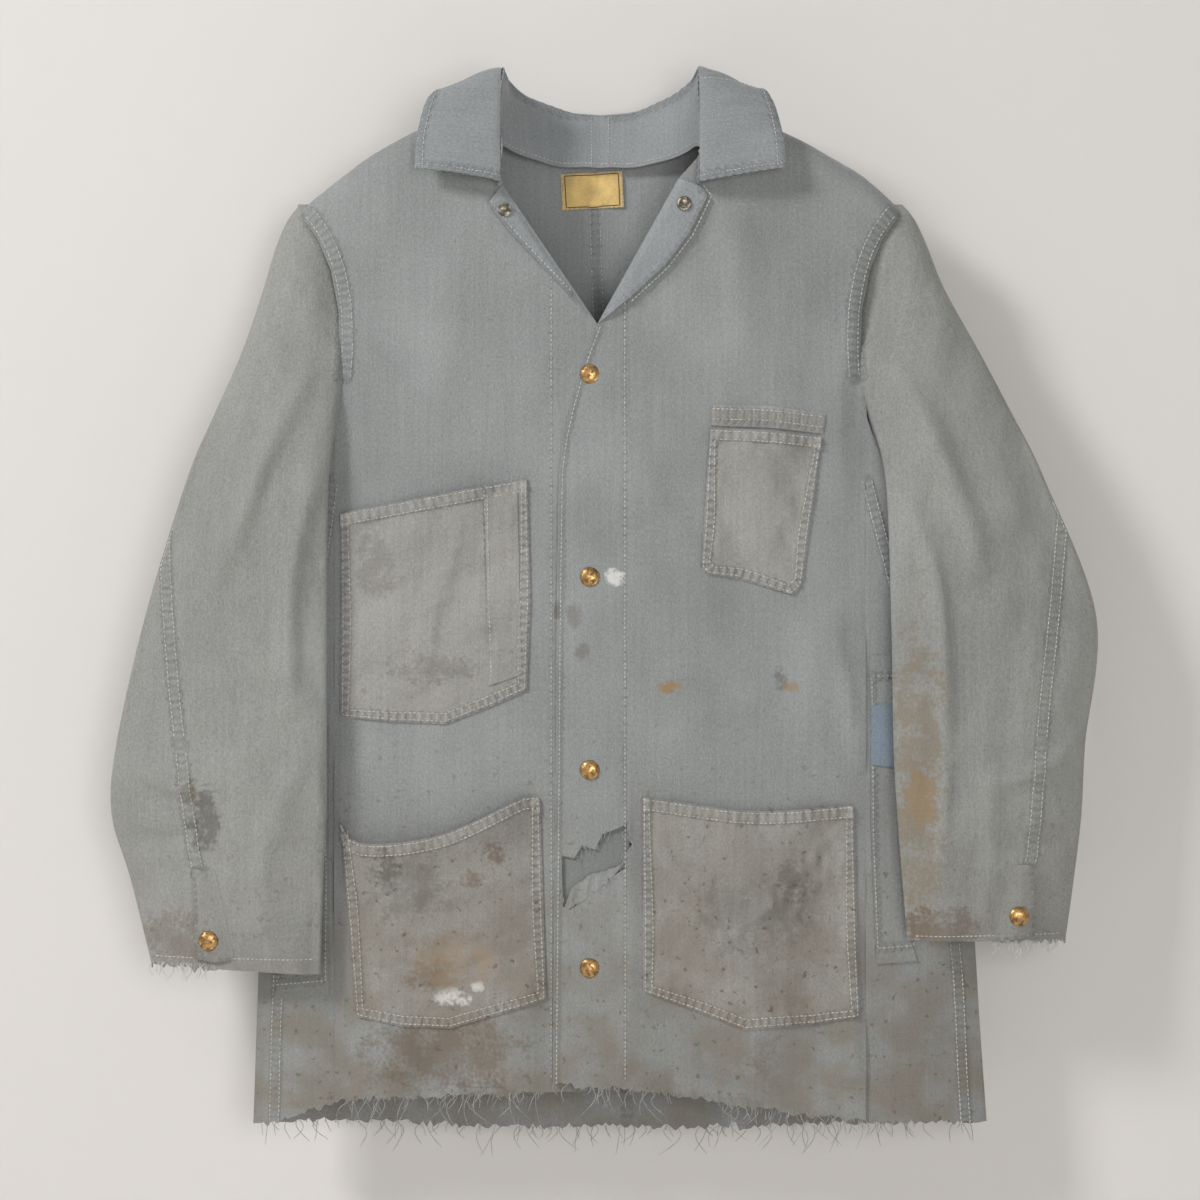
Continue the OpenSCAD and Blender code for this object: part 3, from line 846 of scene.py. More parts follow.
# Folds that the photo shows on the fronts: line, width and height.
FRONT_FOLDS = {
    RIGHT: [
        ([[-95, 735], [-120, 660], [-125, 560]], 15, 3.4),
        ([[-200, 640], [-170, 590], [-120, 540]], 12, 3.2),
        ([[-60, 700], [-70, 600], [-62, 520]], 12, -1.6),
        ([[-52, 280], [-46, 150], [-42, 20]], 7, -2.6),
        ([[-206, 320], [-196, 200], [-190, 60]], 9, 2.4),
        ([[-150, 330], [-140, 285], [-150, 235]], 12, -1.8),
        ([[-195, 300], [-165, 270], [-110, 262]], 7, 2.2),
        ([[-60, 330], [-75, 295], [-115, 275]], 7, 2.0),
        ([[-185, 62], [-140, 52], [-90, 66]], 7, 2.2),
    ],
    LEFT: [
        ([[95, 740], [112, 660], [108, 590]], 15, 3.4),
        ([[200, 640], [185, 560], [190, 470]], 11, 3.0),
        ([[10, 560], [50, 480], [95, 400]], 13, 2.6),
        ([[30, 330], [90, 360], [150, 330]], 11, 2.6),
        ([[190, 420], [165, 340], [175, 265]], 12, 2.0),
        ([[20, 250], [24, 140], [20, 40]], 8, 2.0),
        ([[204, 200], [196, 120], [200, 20]], 9, 2.2),
        ([[60, 470], [110, 425], [170, 405]], 7, 2.0),
        ([[40, 296], [80, 322], [140, 340]], 7, 2.2),
        ([[178, 405], [194, 340], [203, 275]], 6, 2.2),
        ([[24, 70], [80, 52], [130, 66]], 7, 2.0),
    ],
}


def front_folds(side):
    """Broad folds of a front: the drape from the shoulder and the waves towards the hem."""
    def hem_waves(p):
        x, s = p.T
        waves = 2.2 * smooth((430 - s) / 430) * np.sin(x / 17 + 0.8 * side)
        return waves * smooth((SWING_X - np.abs(x)) / 40)
    parts = [ripples(21 + side, 1.3, 130, 2.2), ripples(31 + side, 0.5, 42, 1.6), hem_waves,
             ripples(33 + side, 0.14, 13, 1.3)]
    return total(*parts, *[fold(*row) for row in FRONT_FOLDS[side]])


def placket_tuck(p):
    """The left front's edge settles towards the right front."""
    gap, _ = nearest(p, PLACKET)
    return -3.2 * np.exp(-gap / 14)


def armhole_dip(side):
    """The cloth turns in where the sleeve is sewn on."""
    line = ARMHOLE * [side, 1]

    def lift(p):
        gap, _ = nearest(p, line)
        return -5.0 * np.exp(-gap / 7)
    return lift


FACING_LINE = {RIGHT: [[-38, 40], [-38, 420], [-38, 640], [-38, 676]], LEFT: [[19.5, 40], [19.5, 655]]}
ARMHOLE_SEAM = {side: parallel(curve(ARMHOLE * [side, 1], 8), side * 7) for side in (RIGHT, LEFT)}


def front_cloth(side):
    """A front's surface, with its folds and the relief of its seams."""
    seams = [
        ridge(ARMHOLE_SEAM[side], 13, 0.8, 0.55, 6.0, 41 + side),
        ridge(FACING_LINE[side], 4.0, -0.12, 0.12, 7.0, 43 + side),
    ]
    broad = [front_folds(side), armhole_dip(side)]
    if side == LEFT:
        broad.append(placket_tuck)
        seams.append(ridge(parallel(curve(PLACKET, 12), 3), 6, 0.5, 0.15, 8.0, 47))
    return Cloth(front_shape(side), total(*broad), total(*seams))


FRONTS = {side: front_cloth(side) for side in (RIGHT, LEFT)}


FACING_STRIP = {
    RIGHT: [[-40, 36], [9, 36], [9, 555], [-40, 620]],
    LEFT: [[-35, 42], [23, 40], [23, 600], [-14, 585], [-28, 530], [-31, 460]],
}


def make_facing(side):
    """The strip inside a front's edge, in cloth darkened as painted shade behind the left front's tear.
    """
    node = f"facing_{SIDE_NAMES[side]}"
    inner = FRONTS[side].raised(-3.0)
    strip = sheet(node + "_strip", inner, FACING_STRIP[side], facing_twill_painted_shade, fine=3.0)
    on_front(strip, side, "twill", node)


def make_torn_flap():
    """The flap that hangs in the left front's tear, and the loose threads round the tear."""
    front = FRONTS[LEFT]
    torn = Cloth(front.shape, total(front.broad, ripples(61, 0.9, 12)))
    flap = sheet("front_left_torn_flap", torn, ragged(TORN_FLAP, 62, 0.8), twill, fine=1.5)
    on_front(flap, LEFT, "twill")
    threads = frays("front_left_torn_threads", torn, [*TEAR, TEAR[0]], 70, 9, grey_thread, 63)
    on_front(threads, LEFT, "twill")


def make_front(side):
    """A front: its cloth, its stitches and the loose threads of its hem."""
    name, cloth, seam = SIDE_NAMES[side], FRONTS[side], ARMHOLE_SEAM[side]
    features = [seam, FACING_LINE[side]]
    rows = [*both_sides(seam, 4.2), FACING_LINE[side]]
    holes = []
    if side == LEFT:
        features.append(PLACKET)
        rows.append(parallel(curve(PLACKET, 12), 3))
        holes.append(resample(TEAR, 2.5, closed=True))
    piece = sheet(f"front_{name}_cloth", cloth, front_outline(side), twill, holes, features)
    on_front(piece, side, "twill", f"front_{name}", f"upper_front_{name}", f"shoulder_{name}",
             f"facing_{name}")
    on_front(stitches(f"front_{name}_stitches", cloth, rows, pale_thread), side, "twill")
    hem = FRONT_HEM[side]
    threads = frays(f"front_{name}_frays", cloth, hem, 80, 27, grey_thread, 51 + side)
    on_front(threads, side, "twill")


# ---------- sides and back ----------


def side_outline(side):
    """Outline of the cloth below an armpit. Its hem starts where the front's hem ends."""
    front_end = FRONT_HEM[side][0 if side == RIGHT else -1][1]
    hem = ragged([[side * SWING_X, front_end], [side * 250, 3], [HEM_X[side], 1]], 61 + side)
    edge = [[side * a, s] for a, s in zip(SIDE_EDGE[side][1:], EDGE_HEIGHTS[1:])]
    return np.vstack([hem, edge, [[side * 209, 556], [side * SWING_X, BEND_TOP]]])


def side_seam(side):
    """The side seam's line, which lies 17 mm inside the edge."""
    return curve([[side * (a - 17), s] for a, s in zip(SIDE_EDGE[side], EDGE_HEIGHTS)], 12)


SIDE_CLOTH = {side: Cloth(side_place, ripples(71 + side, 0.8, 70, 2.0),
                          ridge(side_seam(side), 11, 0.8, 0.5, 6.0, 73 + side))
              for side in (RIGHT, LEFT)}

BACK_SEAM = [[22, -4], [8, 380], [-5, 750]]
BACK_HEM = [[HEM_X[RIGHT], 0.5], [-200, -3], [-80, -7], [22, -8], [150, -7], [260, -2],
            [HEM_X[LEFT] + 1, 0.5]]


def back_folds(p):
    """The back's drape, with waves that grow towards the hem."""
    x, s = p.T
    swing = 3.0 * smooth((520 - s) / 520) * np.sin(x / 26 + 1.1) * smooth((250 - np.abs(x)) / 60)
    return swing + ripples(81, 1.0, 170, 2.2)(p) + ripples(82, 0.3, 42, 1.6)(p)


BACK = Cloth(back_place, back_folds, ridge(BACK_SEAM, 12, 0.8, 0.45, 6.2, 83), facing=-1)


def inner_back_place(p):
    """The back's inner face, as seen through the neck."""
    return BACK.at(p, -CLOTH)


INNER_BACK = Cloth(inner_back_place)


def back_outline():
    """Outline of the back's pattern, with its ragged hem."""
    hem = ragged(BACK_HEM, 91)
    left_edge = [[a, s] for a, s in zip(SIDE_EDGE[LEFT][1:], EDGE_HEIGHTS[1:])]
    right_edge = [[-a, s] for a, s in zip(SIDE_EDGE[RIGHT][1:], EDGE_HEIGHTS[1:])]
    armhole = ARMHOLE[::-1]
    shoulder = top_edge(1, SHOULDER_OUTER, SHOULDER_INNER, math.pi - SHOULDER_SEAM)
    neck = [[84, 790], [60, 782], [30, 774], [0, 771]]
    mirrored = np.array([*armhole, *shoulder, *neck[:-1]])[::-1] * [-1, 1]
    return np.vstack([hem, left_edge, armhole, shoulder, neck, mirrored, right_edge[::-1]])


def make_back():
    """The back, its seam seen from both faces, and the loose threads of its hem."""
    piece = sheet("back_cloth", BACK, back_outline(), back_twill, (), [BACK_SEAM])
    on_shell(piece, "twill", "back_panel_right", "back_panel_left", "back_seam")
    rows = both_sides(BACK_SEAM, 4)
    on_shell(stitches("back_stitches", BACK, rows, pale_thread), "twill")
    rows = both_sides([[5, 440], [0, 600], [-5, 750]], 4)
    on_shell(stitches("back_inside_stitches", INNER_BACK, rows, pale_thread), "twill")
    on_shell(frays("back_frays", INNER_BACK, BACK_HEM, 170, 25, grey_thread, 95), "twill")


def make_side(side):
    """The cloth below an armpit, with the side seam's stitches."""
    node, cloth, seam = f"side_{SIDE_NAMES[side]}", SIDE_CLOTH[side], side_seam(side)
    piece = sheet(node + "_cloth", cloth, side_outline(side), twill, (), [seam])
    on_shell(piece, "twill", f"side_panel_{SIDE_NAMES[side]}")
    rows = both_sides(seam, 3.6)
    on_shell(stitches(node + "_stitches", cloth, rows, pale_thread), "twill")


# ---------- pockets ----------


def in_box(node, shares):
    """Pattern points given as shares of a CAD node's width and height."""
    low, high = box_mm(node)
    size = high - low
    return np.array([[low[0] + a * size[0], low[2] + b * size[2]] for a, b in shares])


def pocket_cloth(side, sewn, mouth, puff, gape, seed, seams, creases):
    """A patch pocket's surface: sewn down along its sides and foot, and free along its mouth."""
    front = FRONTS[side]
    folds = total(*[fold(*crease) for crease in creases])

    def broad(p):
        to_seam, _ = nearest(p, sewn)
        to_mouth, _ = nearest(p, mouth)
        lift = 1.5 + puff * smooth(to_seam / 45)
        lift = lift + gape * smooth(to_seam / 35) * np.exp(-(to_mouth / 22) ** 2)
        crumple = ripples(seed, 1.3, 42, 1.0)(p) + ripples(seed + 5, 0.5, 16, 1.0)(p)
        return front.broad(p) + lift + folds(p) + crumple * smooth(to_seam / 16)
    return Cloth(front.shape, broad, total(*seams))


def make_pocket(node, side, shares, mouth_end, puff, gape, seed, extra_rows=(), creases=(),
                hem_depth=11):
    """One patch pocket. Its mouth runs from the first outline corner to the one at mouth_end."""
    corners = in_box(node, shares)
    middle = corners.mean(0)
    mouth = curve(corners[:mouth_end + 1], 8)
    sewn = resample(np.vstack([corners[mouth_end:], corners[:1]]), 8)
    outline = np.vstack([mouth[:-1], sewn[:-1]])
    edge, inner, second = (sewn + unit(middle - sewn) * depth for depth in (2.2, 4.5, 8.0))
    hem = mouth - [0, hem_depth / 2]
    seams = [
        ridge(inner, 9, 0.8, 0.8, 6.5, seed),
        ridge(hem, hem_depth, 1.1, 0.5, 7.0, seed + 1),
        *[ridge(row, 4, -0.4, 0.2, 6.0, seed + 2) for row in extra_rows],
    ]
    cloth = pocket_cloth(side, sewn, mouth, puff, gape, seed, seams, creases)
    features = [inner, hem, *extra_rows, *[line for line, _, _ in creases]]
    piece = sheet(node + "_cloth", cloth, outline, pocket_twill, (), features, fine=1.8)
    rows = [edge, second, mouth - [0, 2], mouth - [0, hem_depth - 1.5], *extra_rows]
    on_front(piece, side, "pocket_twill", node)
    on_front(stitches(node + "_stitches", cloth, rows, pale_thread), side, "pocket_twill")
    return cloth


# Outline corners, as shares of the CAD pocket's width and height.
TOOL_POCKET = [(0, 0.86), (0.5, 0.93), (1, 1), (1.02, 0.5), (1, 0.14), (0.8, 0.07), (0.56, 0),
               (0.28, 0.01), (0, 0.03)]
LOWER_POCKET_RIGHT = [(0, 0.89), (0.1, 0.80), (0.5, 0.84), (0.9, 1), (0.97, 0.985), (1, 0.13),
                      (0.53, 0), (0.3, 0.01), (0.08, 0.05)]
LOWER_POCKET_LEFT = [(0, 1), (0.5, 0.94), (0.97, 0.96), (1, 0.05), (0.8, 0.02), (0.47, 0),
                     (0.25, 0.08), (0, 0.17)]
CHEST_POCKET = [(0.08, 1), (0.5, 0.985), (1, 0.955), (0.9, 0.4), (0.83, 0.05), (0.76, 0.0),
                (0.3, 0.10), (0.05, 0.125), (0, 0.16)]
CHEST_BAND = [(0, 0.7), (0.02, 1), (0.5, 0.98), (1, 0.72), (0.98, 0), (0.5, 0.2), (0, 0.27)]
PENCIL_SLOT = [(0.05, 0.97), (0.86, 1), (0.97, 0.02), (0.14, -0.04)]
PENCIL_ROW = [[-90, 499], [-88, 450], [-86, 395]]


def make_pockets():
    """The four patch pockets: outline, end of the mouth, puff, gape, seed, rows and creases."""
    tool_cloth = make_pocket("tool_pocket", RIGHT, TOOL_POCKET, 2, 3.0, 1.0, 101, [PENCIL_ROW], [
        ([[-105, 478], [-122, 430], [-135, 380], [-140, 345]], 8, 2.2),
        ([[-190, 460], [-160, 430], [-120, 420]], 9, 1.6)])
    make_pocket("lower_pocket_right", RIGHT, LOWER_POCKET_RIGHT, 4, 5.0, 11.0, 111, (), [
        ([[-175, 175], [-150, 150], [-110, 158], [-75, 150]], 6, 2.4),
        ([[-150, 195], [-120, 180], [-85, 205]], 8, 2.0),
        ([[-160, 140], [-130, 128], [-95, 135]], 6, 2.0)])
    make_pocket("lower_pocket_left", LEFT, LOWER_POCKET_LEFT, 2, 3.5, 1.5, 121, (), [
        ([[192, 240], [160, 205], [120, 165], [75, 132]], 6, 3.0),
        ([[198, 215], [165, 190], [150, 160]], 8, 1.8),
        ([[60, 240], [85, 200], [70, 160]], 10, 1.6)])
    make_pocket("chest_pocket", LEFT, CHEST_POCKET, 2, 4.0, 3.0, 131, hem_depth=10)
    make_chest_band()
    make_pencil_slot(tool_cloth)


def make_chest_band():
    """Strip sewn on the chest above the pocket, with two stitch rows."""
    node = "chest_pocket_band"
    outline = in_box(node, CHEST_BAND)
    line = (outline[1:4] + outline[[6, 5, 4]]) / 2
    cloth = FRONTS[LEFT].raised(1.2, ridge(line, 14, 0.4, 0.4, 6.5, 141))
    piece = sheet(node + "_cloth", cloth, outline, pocket_twill, (), [line], fine=1.8)
    on_front(piece, LEFT, "pocket_twill", node)
    rows = [line + [0, 5], line + [0, -3]]
    on_front(stitches(node + "_stitches", cloth, rows, pale_thread), LEFT, "pocket_twill")


def make_pencil_slot(pocket):
    """Narrow strip on the tool pocket's inner edge."""
    node = "pencil_slot"
    outline = in_box(node, PENCIL_SLOT)
    cloth = pocket.raised(1.0)
    piece = sheet(node + "_cloth", cloth, outline, pocket_twill, fine=2.0)
    on_front(piece, RIGHT, "pocket_twill", node)
    row = outline[[0, 3]] + [2, 0]
    on_front(stitches(node + "_stitches", cloth, [row], pale_thread), RIGHT, "pocket_twill")


# ---------- side slits and patch ----------


SLIT_FACING = {
    RIGHT: [[-257, 99], [-212, 104], [-212, 330], [-238, 330], [-246, 129]],
    LEFT: [[216, 128], [248, 130], [242, 150], [232, 370], [211, 370], [212, 240]],
}


def make_slit(side):
    """The facing round the side pocket's slit, with one row of stitches."""
    node = f"side_slit_facing_{SIDE_NAMES[side]}"
    outline = np.array(SLIT_FACING[side], float)
    closed = np.vstack([outline, outline[:1]])
    inner = closed + (outline.mean(0) - closed) * 0.12
    cloth = SIDE_CLOTH[side].raised(1.6, ridge(inner, 8, 0.5, 0.5, 6.0, 151 + side))
    on_shell(sheet(node + "_cloth", cloth, outline, twill, (), [inner]), "twill", node)
    on_shell(stitches(node + "_stitches", cloth, [inner], pale_thread), "twill")


def make_patch():
    """The denim mending patch beside the left slit."""
    outline = in_box("mending_patch", [(0, 0.04), (1, 0), (1, 1), (0, 1)])
    piece = sheet("mending_patch_cloth", SIDE_CLOTH[LEFT].raised(3.4), outline, denim_patch)
    on_shell(piece, "denim_patch", "mending_patch")


# ---------- lapels, collar and label ----------


LAPEL_OUTLINE = {        # from one end of the crease to the other
    RIGHT: [FOLD_TOP[RIGHT], [-87, 722], [-70, 700], [-47, 675], [-24, 651], VEE],
    LEFT: [VEE, [22, 647], [50, 673], [69, 698], [83, 727], [76, 735], FOLD_TOP[LEFT]],
}


def lapel_cloth(side, crease, edge):
    """A lapel's surface: the front's own, lifted where it is turned back over itself."""
    base = FRONTS[side]

    def broad(p):
        gap, _ = nearest(p, crease)
        return base.broad(p) + 0.6 + 3.2 * smooth(gap / 5) + 1.5 * smooth(gap / 20)
    return Cloth(base.shape, broad, ridge(edge, 7, 0.3, 0.2, 7.0, 161))


def make_lapel(side):
    """The top of a front, turned back, with one row of stitches along its edge."""
    node = f"lapel_{SIDE_NAMES[side]}"
    outline = np.array(LAPEL_OUTLINE[side], float)
    crease, edge = outline[[0, -1]], outline[1:-1]
    cloth = lapel_cloth(side, crease, edge)
    piece = sheet(node + "_cloth", cloth, outline, collar_twill, (), [edge, crease], fine=1.6)
    on_body(piece, node, "collar_twill", node)
    row = parallel(resample(edge, 6), 3 * side)
    on_body(stitches(node + "_stitches", cloth, [row], pale_thread), node, "collar_twill")


# Lines of the left half of the collar, in the frame, from its front end to the centre back:
# where it rolls over, where it is sewn to the neck, and its outer edge.
ROLL = [[77, -47, 737], [77.5, -39, 771], [77.5, -31, 804], [77, -22, 828], [76, -4, 831],
        [72, 16, 826], [58, 33, 816], [30, 43, 806], [0, 46, 803]]
NECK = [[77, -34, 736], [80, -27, 748], [81, -17, 760], [80, -6, 769], [76, 4, 772],
        [68, 9, 768], [53, 14, 763], [28, 18, 758], [0, 19, 757]]
LEAF = [[144, -45, 748], [142, -38, 776], [134, -30, 806], [128, -8, 808], [121, 20, 801],
        [105, 36, 782], [70, 46, 762], [30, 50, 752], [0, 51, 750]]
COLLAR_STEPS = 17                # places from one of those points to the next
COLLAR_ROWS = 34                 # rows of places from one line to the other
COLLAR_PATTERN = (400, 700)      # where the collar lies in the pattern, clear of the other cloth
SEW_IN = 3.5                     # the collar's stitches lie this far inside its edge
LEAF_COLUMNS = {RIGHT: [2], LEFT: [-3, -45]}    # where stitches run down the leaf
STAND_COLUMN = {RIGHT: -5, LEFT: 4}             # and down the stand, beside its centre seam
WING_TURN = (0, 0.022, 0), (0, -0.016, 0)       # two places, in metres, handed on with the wings' pieces


def collar_sheet(name, side, start, end, crown, seed, thickness):
    """Part of the collar, from one of its lines to another, crowned outward between them."""
    a, b = (curve(np.array(line) * [side, 1, 1], count=COLLAR_STEPS) for line in (start, end))
    t = np.linspace(0, 1, COLLAR_ROWS)[:, None]
    places = a * (1 - t[..., None]) + b * t[..., None]
    along = runs((a + b) / 2) + np.zeros((COLLAR_ROWS, 1))
    depth = np.linalg.norm(b - a, axis=1)
    across = t * depth
    diagonal = along + across
    edge_gap = np.minimum(depth - across, along)
    calm = smooth((along[:, -1:] - along) / 15)
    pucker = np.exp(-((edge_gap - SEW_IN) / 3.2) ** 2)
    turn = math.tau * diagonal / 6.5 + 1.5 * np.sin(diagonal / 31 + seed)
    fine = pucker * (0.5 + 0.9 * np.sin(turn)) * calm
    wavy = 1.6 * np.exp(-edge_gap / 9) * np.sin(along / 11 + across / 17 + seed)
    flat = np.stack([along, across], -1).reshape(-1, 2)
    random = ripples(seed, 0.8, 34, 1.3)(flat).reshape(along.shape)
    broad = crown * np.sin(math.pi * t) ** 0.6 + (wavy + random) * calm
    normal = unit(np.cross(np.gradient(places, axis=1), np.gradient(places, axis=0)) * -side)
    places = places + normal * (broad + fine)[..., None]
    places[:, -1, 0] = 0
    rest = np.stack([along * side + COLLAR_PATTERN[0], across + COLLAR_PATTERN[1],
                     np.zeros(along.shape)], -1)
    if side == LEFT:
        places, rest, fine = places[:, ::-1], rest[:, ::-1], fine[:, ::-1]
    return grid_object(name, places, rest, fine, collar_twill, thickness), places


def collar_stitches(name, places, row, columns, lift=0.3):
    """Stitches along a row and down some columns of a collar sheet."""
    normal = unit(np.cross(np.gradient(places, axis=1), np.gradient(places, axis=0)))
    raised = places + normal * lift
    lines = []
    for path in [raised[row], *[raised[:, column] for column in columns]]:
        for start in np.arange(0.5, runs(path)[-1] - 2.5, 3.4):
            lines.append(between(path, start + np.array([0, 0.8, 1.6, 2.4])))
    return tubes(name, lines, 0.36, pale_thread, sides=4)


def make_collar(side):
    """Half of the collar: the leaf, whose wing turns up, and the stand inside the neck."""
    leaf, stand, wing = (part + SIDE_NAMES[side]
                         for part in ("collar_leaf_", "collar_inside_", "collar_wing_"))
    piece, places = collar_sheet(leaf, side, ROLL, LEAF, 5.0, 171 + side, 1.6)
    over_joint(piece, ("shell", wing), WING_TURN, "collar_twill", wing)
    thread = collar_stitches(leaf + "_stitches", places, 30, LEAF_COLUMNS[side])
    over_joint(thread, ("shell", wing), WING_TURN, "collar_twill")
    piece, places = collar_sheet(stand, side, NECK, ROLL, 0.5, 175 + side, 1.2)
    on_shell(piece, "collar_twill", *(["collar_stand", "collar_back"] if side == RIGHT else []))
    thread = collar_stitches(stand + "_stitches", places, 2, [STAND_COLUMN[side]])
    on_shell(thread, "collar_twill")


LABEL_HALF = (24.5, 14.5)        # half of the label's width and height
LABEL_TILT = math.radians(3)


def make_label():
    """The plain neck label, its dark border line and the stitches that hold it."""
    centre = middle_of("neck_label")[[0, 2]]
    cos, sin = math.cos(LABEL_TILT), math.sin(LABEL_TILT)
    corners = np.array([(-1, -1), (1, -1), (1, 1), (-1, 1)]) * LABEL_HALF
    corners = corners @ np.array([[cos, sin], [-sin, cos]]) + centre
    cloth = Cloth(inner_back_place, ripples(181, 0.35, 22))
    piece = sheet("neck_label_cloth", cloth, corners, label_cloth, fine=1.5, lift=1.6)
    on_shell(piece, "label", "neck_label")
    ring = centre + (corners - centre) * 0.87
    border = cloth.at(resample(ring, 2.0, closed=True), 1.75)
    border = np.vstack([border, border[:2]])
    on_shell(tubes("neck_label_border", [border], 0.4, brown_thread), "label")
    edge = centre + (np.vstack([corners, corners[:1]]) - centre) * 0.96
    on_shell(stitches("neck_label_stitches", cloth, [edge], pale_thread, 1.9), "label")


# ---------- sleeves ----------

SLEEVE_RINGS = {     # height, outer edge and inner edge, from the middle
    RIGHT: [[724, 239, 231], [712, 248, 214], [690, 257, 206], [660, 266, 200], [608, 283, 198],
            [560, 303, 204], [507, 325, 211], [400, 358, 212], [300, 381, 212], [245, 385, 212],
            [195, 370, 215], [128, 353, 217]],
    LEFT: [[726, 239, 231], [714, 249, 214], [690, 260, 206], [660, 272, 200], [608, 300, 200],
           [560, 324, 210], [507, 350, 222], [400, 391, 226], [300, 382, 228], [245, 379, 231],
           [195, 373, 235], [146, 366, 239]],
}
SLEEVE_TOP = 726                # where a sleeve's head closes
ELBOW_SPLIT = 300               # where its two parts meet
CUFF_Z = 128                    # where the lower part is told to end; the cuff has its own edge
SLEEVE_SEAM = {      # the long seam on the sleeve's face
    RIGHT: [[-342, 470], [-340, 430], [-331, 335], [-316, 218], [-311, 200]],
    LEFT: [[365, 490], [359, 440], [347, 335], [337, 215], [335, 208]],
}
SLEEVE_COLUMNS = 144            # columns of a sleeve's mesh
SLEEVE_ROW = 2.6                # height of one row of a sleeve's mesh
SLEEVE_DEPTH = 19               # half of a sleeve's depth from front to back
ELBOW_TURN = (0, 0, 0.256), (0, 0, 0.170)       # two places, in metres, handed on with the lower sleeves

SLEEVE_TABLE = {side: curve(rings[::-1], 12) for side, rings in SLEEVE_RINGS.items()}


def sleeve_size(side, z):
    """Outer and inner edge of a sleeve at a height."""
    heights, outer, inner = SLEEVE_TABLE[side].T
    return np.interp(z, heights, outer), np.interp(z, heights, inner)


# Folds that the photo shows on the sleeves: line, width and height.
SLEEVE_FOLD_LINES = {
    RIGHT: [
        ([[-225, 600], [-262, 520], [-300, 420]], 10.4, 8.1),
        ([[-222, 520], [-240, 420], [-236, 320]], 8.8, 6.8),
        ([[-300, 560], [-325, 480], [-345, 400]], 12, -3.4),
        ([[-378, 300], [-340, 270], [-290, 262]], 7.2, 6.1),
        ([[-380, 225], [-340, 225], [-300, 240]], 8, -3.5),
        ([[-230, 300], [-255, 230], [-262, 150]], 9.6, 4.1),
    ],
    LEFT: [
        ([[230, 600], [268, 520], [300, 430]], 10.4, 8.1),
        ([[236, 500], [262, 420], [267, 300], [262, 180]], 7.2, 6.8),
        ([[310, 560], [345, 480], [372, 400]], 12, -3.4),
        ([[380, 310], [345, 280], [300, 272]], 7.2, 6.1),
        ([[372, 230], [335, 225], [300, 240]], 8, -3.2),
        ([[300, 330], [305, 240], [300, 160]], 9.6, 3.2),
    ],
}


def sleeve_folds(side):
    """Broad folds of a sleeve: the fall from the shoulder and the creases round the elbow."""
    parts = [ripples(191 + side, 1.6, 80, 2.2), ripples(193 + side, 0.7, 30, 1.6),
             ripples(197 + side, 0.15, 12, 1.3)]
    return total(*parts, *[fold(*row) for row in SLEEVE_FOLD_LINES[side]])


def sleeve_fine(side):
    """Relief of a sleeve's long seam and of its head."""
    seam = curve(SLEEVE_SEAM[side], 10)
    head = curve(ARMHOLE * [side, 1], 10)
    return total(ridge(seam, 12, 0.9, 0.6, 6.2, 195 + side), ridge(head, 6, 0.5, 0.5, 6.0, 197))


SLEEVE_FOLDS = {side: sleeve_folds(side) for side in (RIGHT, LEFT)}
SLEEVE_FINE = {side: sleeve_fine(side) for side in (RIGHT, LEFT)}


def sleeve_places(side, a, z):
    """Places on a sleeve from the angle round it and the height. Angles of 180 to 360 face out."""
    outer, inner = sleeve_size(side, z)
    mid, half = (outer + inner) / 2, (outer - inner) / 2
    forward = np.clip((667 - z) / 160, 0, 1)
    y_mid = SIDE_Y - 28.5 * smooth(forward)
    thick = SLEEVE_DEPTH * np.clip(half / 26, 0.55, 1) * (1 - 0.25 * smooth((300 - z) / 200))
    thick = thick * np.sqrt(smooth((SLEEVE_TOP - z) / 14))
    along = half * np.cos(a)
    bulge = np.sin(a) * (0.82 + 0.18 * np.abs(np.sin(a)))
    x = side * (mid + along)
    y = y_mid + 0.21 * forward * along + thick * bulge
    p = np.stack([x, z], 1)
    facing = -np.sin(a)
    share = smooth((np.abs(facing) - 0.12) / 0.35) * np.sign(facing)
    lift = SLEEVE_FOLDS[side](p) * smooth((facing + 0.1) / 0.6)
    lift = lift + SLEEVE_FINE[side](p) * (facing > 0.15)
    lift = lift * smooth((730 - z) / 60)
    ends = smooth(np.abs(z - ELBOW_SPLIT) / 30) * 0.6 + 0.4
    return np.stack([x, y - lift * np.abs(share) * ends, z], 1)


def sleeve_front(side):
    """The sleeve's outward face as a cloth, to sew on."""
    def place(p):
        x, z = p.T
        outer, inner = sleeve_size(side, z)
        mid, half = (outer + inner) / 2, (outer - inner) / 2
        share = np.clip((np.abs(x) - mid) / half, -0.97, 0.97)
        return sleeve_places(side, -np.arccos(share), z)
    return Cloth(place)


def cuff_height(side, a):
    """Height of the cuff's edge round the sleeve, which is frayed at the outer side."""
    rng = np.random.default_rng(201 + side)
    base = SLEEVE_RINGS[side][-1][0]
    frayed = smooth((np.cos(a) + 0.1) / 0.5)
    nicks = rng.normal(0, 1, len(a))
    low = 6.0 if side == RIGHT else -3.0
    return base - low * (1 - np.cos(a)) / 2 + frayed * nicks * 1.4


